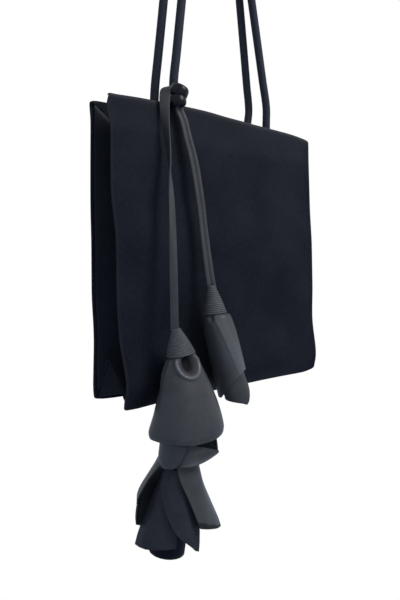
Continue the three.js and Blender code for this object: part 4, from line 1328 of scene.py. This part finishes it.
# Painted shade inside the hollow, and a painted highlight along its rim.
bell_painted_shade_and_highlight = ease((0.96 - around_eyelet) / 0.34)
bell_painted_shade_and_highlight -= 0.45 * np.exp(-(((around_eyelet - 1.14) / 0.11) ** 2)) * ease((share - 0.06) / 0.03)
petal("bell", tucked(bell_grid, long_binding_lean, bell_lean, 10.2), bell_top, bell_lean, "long_flower",
      "bell_petal", values=bell_painted_shade_and_highlight)

# %% Petal under the bell
under_share = 0.97
under = petal_grid(
    61, 41, -88, lambda reach: 40 + 22 * ease(reach), lambda across: 0.9 - 0.14 * np.abs(across) ** 3,
    lambda reach, across: bell_radius_at(reach * under_share) - 2.6 - 4.4 * ease(reach * 2),
    1.6, bell_length * under_share, 0.8)
petal("bell_under", under, bell_top, bell_lean, "long_flower", "bell_under_petal", finish=dark_leather)

# %% Stem
stem_path = bell_top + np.outer(np.linspace(0.6, stem_length, 30), stem_lean)
dress(swept("stem", stem_path, untwisted(stem_path), circle(4.8, 20), dark_leather), "long_flower",
      "petal_leather", "long_stem")

# %% [markdown]
# ## The lower tier
#
# Two collar petals stand up from the waist into the mouth of the bell, the right one flaring out to a
# tip, with a sheet behind it that closes the gap beside the tip. Six petals hang from the waist and
# spread round the core. Each has its own cut: the one in front runs down to a slanted point, its
# neighbour on the right is broad and curls at its edge. The lower part of the right collar is painted
# pale, a painted highlight, and the turned-under hem of the broad right petal is painted dark, a painted
# shade. The two petals in front and the two at the back are darker copies of the leather: painted shade.

# %% Collar petals
def lower_petal(name, grid, *nodes, **looks):
    petal(name, grid, waist, lower_lean, "long_flower_lower", *nodes, **looks)


collar_left = free_petal(
    [(-135, 0.5, 15.6), (-132, -8, 17), (-130, -21, 17)],
    [(-60, 1.6, 15.6), (-34, 0.4, 16.8), (-12, -1.8, 17.8), (0, -6, 18), (8, -13, 18.6),
     (13, -21.5, 18.6)], curl=0.9)
collar_right = free_petal(
    [(-48, 0.6, 14.6), (-24, -0.6, 15.2), (-3, -2.4, 16.4), (22, -4.8, 20.4), (46, -8, 23),
     (66, -12, 26.8), (82, -15, 30)],
    [(-44, -8, 14.6), (-24, -16, 14.8), (-6, -21, 15.6), (14, -22, 16.9), (36, -21, 19),
     (58, -19.6, 24), (80, -16.4, 30)], belly=0.8, curl=0.5)
collar_back = free_petal([(81, -15.3, 29.6), (106, -9, 27), (140, -5, 19), (180, -3, 16)],
                         [(79, -17, 29.6), (90, -27, 26.5), (130, -31, 21), (180, -31, 17)], belly=0.4)
across, share = np.linspace(0, 1, petal_columns), np.linspace(0, 1, petal_rows)
# Painted highlight on the lower part of the right collar, on its left half.
painted_highlight_curl = -0.3 * np.outer(ease((share - 0.35) / 0.2), ease((0.5 - across) / 0.5))
lower_petal("collar_left", collar_left, "collar_petal_left")
lower_petal("collar_right", collar_right, "collar_petal_right", values=painted_highlight_curl)
lower_petal("collar_back", collar_back)

# %% Lower petals
# For each petal: its finish; its belly, curl, ripple, phase and hem; its left and its right edge.
lower_petals = {
    "front_left": (shaded_leather, (1.0, 0.4, 0.4, 0, 1), [
        (-108, 0, 10), (-98, 5, 11.6), (-88, 20, 15.6), (-82, 34, 20), (-79, 50, 24.6),
        (-76, 65.5, 28.4)], [(8, 0, 10), (10, 15, 13), (12, 30, 17), (13, 44, 20.5), (14, 57.5, 23.6)]),
    "front": (shaded_leather, (1.2, 0.5, 0.3, 1, 0.8), [
        (-82, 0.5, 12), (-77, 5, 12.9), (-58, 14, 15.2), (-37, 23.5, 17.9), (-15, 33.5, 21.6),
        (9, 46, 26.4), (30, 53, 28.6), (45, 58.6, 30.2)], [
        (66, 0.5, 12), (60, 12, 15.5), (55, 24, 20.5), (52, 39, 26.2), (50, 50, 28.8),
        (49, 59.6, 30.4)]),
    "right": (petal_leather, (1.6, 0.9, 0.4, 2, 1.6), [
        (-14, -5, 13.6), (4, 7, 17.2), (20, 16.5, 21), (31, 26, 25.5), (37, 34, 29), (42, 40, 32)], [
        (116, -9, 13), (108, 12, 20.5), (102, 28, 29), (97, 38, 35), (93, 47.5, 41)]),
    "back_right": (dark_leather, (1, 0.4, 0.3, 3, 0.8), [
        (100, 0, 10.2), (108, 28, 17), (116, 52, 24.5)], [
        (188, 0, 10.2), (180, 28, 18), (170, 52, 25.5)]),
    "back_left": (dark_leather, (1, 0.5, 0.4, 4, 0.8), [
        (-178, 0, 12.5), (-174, 12, 20), (-168, 25, 25.4), (-160, 44, 27), (-152, 67, 27)], [
        (-84, 0, 13.2), (-79, 12, 21.8), (-74, 22, 27.2), (-70, 32, 29), (-69, 41, 29.4),
        (-72, 49, 28.6)]),
    "left": (petal_leather, (0.8, 0.5, 0.3, 5, 0.8), [
        (-134, -9, 17.2), (-131, 2, 20.6), (-128, 12, 24.4), (-122, 25, 29.2), (-112, 34, 30)], [
        (-58, -3, 15.2), (-66, 2, 17), (-73, 12, 22.8), (-73, 25, 29), (-78, 33.5, 30.2)]),
}
# Painted shade: the turned-under hem at the tip of the right petal is painted dark.
painted_shade_hem = 0.85 * ease((share[:, None] - 0.89 - 0.08 * across) / 0.02)
for name, (finish, form, left, right_edge) in lower_petals.items():
    lower_petal("lower_" + name, free_petal(left, right_edge, *form), "lower_petal_" + name,
                finish=finish, values=painted_shade_hem if name == "right" else None)

# %% [markdown]
# ## The rolled core
#
# The heart of the long flower is a strip of leather rolled on itself. That is a rule too: a flat grid
# whose way across becomes an angle with a growing radius. The tree bends the grid; Solidify gives the
# leather its thickness.

# %% Core roll
roller = Maker("rolled_strip", ["Turns", "Inner radius", "Outer radius", "Top share", "Length"])
strip = roller.add("GeometryNodeMeshGrid", inputs={
    "Size X": 1, "Size Y": 1, "Vertices X": 150, "Vertices Y": 26})
spot = roller.add("ShaderNodeSeparateXYZ", inputs={0: roller.add("GeometryNodeInputPosition")})
way_round, way_down = spot + 0.5, spot.output("Y") + 0.5
angle = way_round * roller.size("Turns") * (2 * math.pi)
inner_radius, top_share = roller.size("Inner radius"), roller.size("Top share")
open_radius = inner_radius + (roller.size("Outer radius") - inner_radius) * way_round
narrow = top_share + (1 - top_share) * way_down.between(0, 0.46)
rolled = roller.add("ShaderNodeCombineXYZ", inputs={
    0: open_radius * narrow * angle.math("COSINE"), 1: open_radius * narrow * angle.math("SINE"),
    2: way_down * roller.size("Length") * -1})
roller.finish(roller.add("GeometryNodeSetPosition", inputs={"Geometry": strip, "Position": rolled}))
core = roller.make("core", dark_leather, turns=3.42, inner_radius=0.005, outer_radius=0.0167,
                   top_share=0.55, length=0.071)
core.data.transform(hang_matrix(to_frame(waist - right * 1.4), lower_lean))
solid = core.modifiers.new("thickness", "SOLIDIFY")
solid.thickness, solid.offset = 0.0011, 0
dress(right_side_out(plain(core)), "long_flower_lower", "petal_leather", "core_roll")

# %% [markdown]
# ## The short flower
#
# Two petals are rolled into a tube. The outer one is cut away along a diagonal, so the inner one shows
# below it and ends in a point. A stuffed stem inside keeps the roll round. A band down the outer petal,
# on the side towards the lamp, is painted pale: a painted highlight.

# %% Rolled petals
roll_length, roll_top_radius, roll_rise = 78, short_binding_radius - 1, 3
roll_columns, roll_rows = 121, 61
outer_wrap, outer_bearing, inner_wrap, inner_bearing, layer = 176, 10, 92, 45, 1.9
outer_edge = edge_line(outer_wrap, outer_bearing, roll_rise, roll_length, (-170, 72), (-90, 77),
                       (-60, 76.5), (-41, 73), (-9, 66.5), (28, 60.7), (60, 57.5), (100, 58), (190, 70))
inner_edge = edge_line(inner_wrap, inner_bearing, roll_rise, roll_length, (-50, 73), (-40, 75), (-5, 78),
                       (20, 80.5), (36, 83), (48, 81), (80, 70), (140, 64))


def roll_radius_at(reach, order):
    """The outer petal has order 0; each layer inside it is 1 less."""
    fall = np.maximum(0, reach * roll_length - roll_rise)
    return roll_top_radius + 4.6 * (1 - np.exp(-fall / 11)) + order * layer


def roll_relief(bearing, distance, reach, across):
    """A long soft ridge down the front, and a small notch where the top edge is folded in."""
    fall = distance - roll_rise
    along = np.interp(fall, [3, 20, 55, 70], [-13, 5, 28, 36])
    ends = ease((fall - 3) / 4) * ease((66 - fall) / 12)
    ridge = 0.55 * np.exp(-(((bearing - along) / 5) ** 2)) * ends
    notch = -3.4 * np.exp(-(((bearing + 26) / 11) ** 2) - ((fall - 4.6) / 2.2) ** 2)
    return ridge + notch


outer = petal_grid(roll_columns, roll_rows, outer_bearing, lambda reach: outer_wrap, outer_edge,
                   lambda reach, across: roll_radius_at(reach, 0) + 0.9 * across,
                   -roll_rise, roll_length, relief=roll_relief)
outer = tucked(outer, short_binding_lean, roll_lean, 8.5, short_overlap)
across, share = np.meshgrid(np.linspace(-1, 1, roll_columns), np.linspace(0, 1, roll_rows))
# Painted highlight: a band down the outer petal, on its lit side, is painted paler.
lit_bearing = np.interp(share * 70, [3, 20, 55, 70], [2, 20, 44, 52])
lit = np.exp(-(((across * outer_wrap + outer_bearing - lit_bearing) / 30) ** 2))
petal("roll_outer", outer, roll_top, roll_lean, "short_flower", "short_outer_petal",
      finish=strap_leather, values=-0.34 * lit * ease(share * 5))
inner = petal_grid(
    71, roll_rows, inner_bearing, lambda reach: inner_wrap, inner_edge,
    lambda reach, across: roll_radius_at(reach, -1) + 1.6 * ease(reach * 3.4 - 2.6) * (1 + across),
    1.2, roll_length)
petal("roll_inner", inner, roll_top, roll_lean, "short_flower", "short_inner_petal",
      finish=strap_leather)
filling_path = roll_top + np.outer(np.linspace(1, roll_length * 0.72, 24), roll_lean)
filling_swell = np.interp(np.arange(24), [0, 6, 18, 23], [0.55, 1, 1, 0.4])
dress(swept("roll_filling", filling_path, untwisted(filling_path), circle(11, 28), dark_leather,
            filling_swell), "short_flower", "petal_leather", "short_stem")
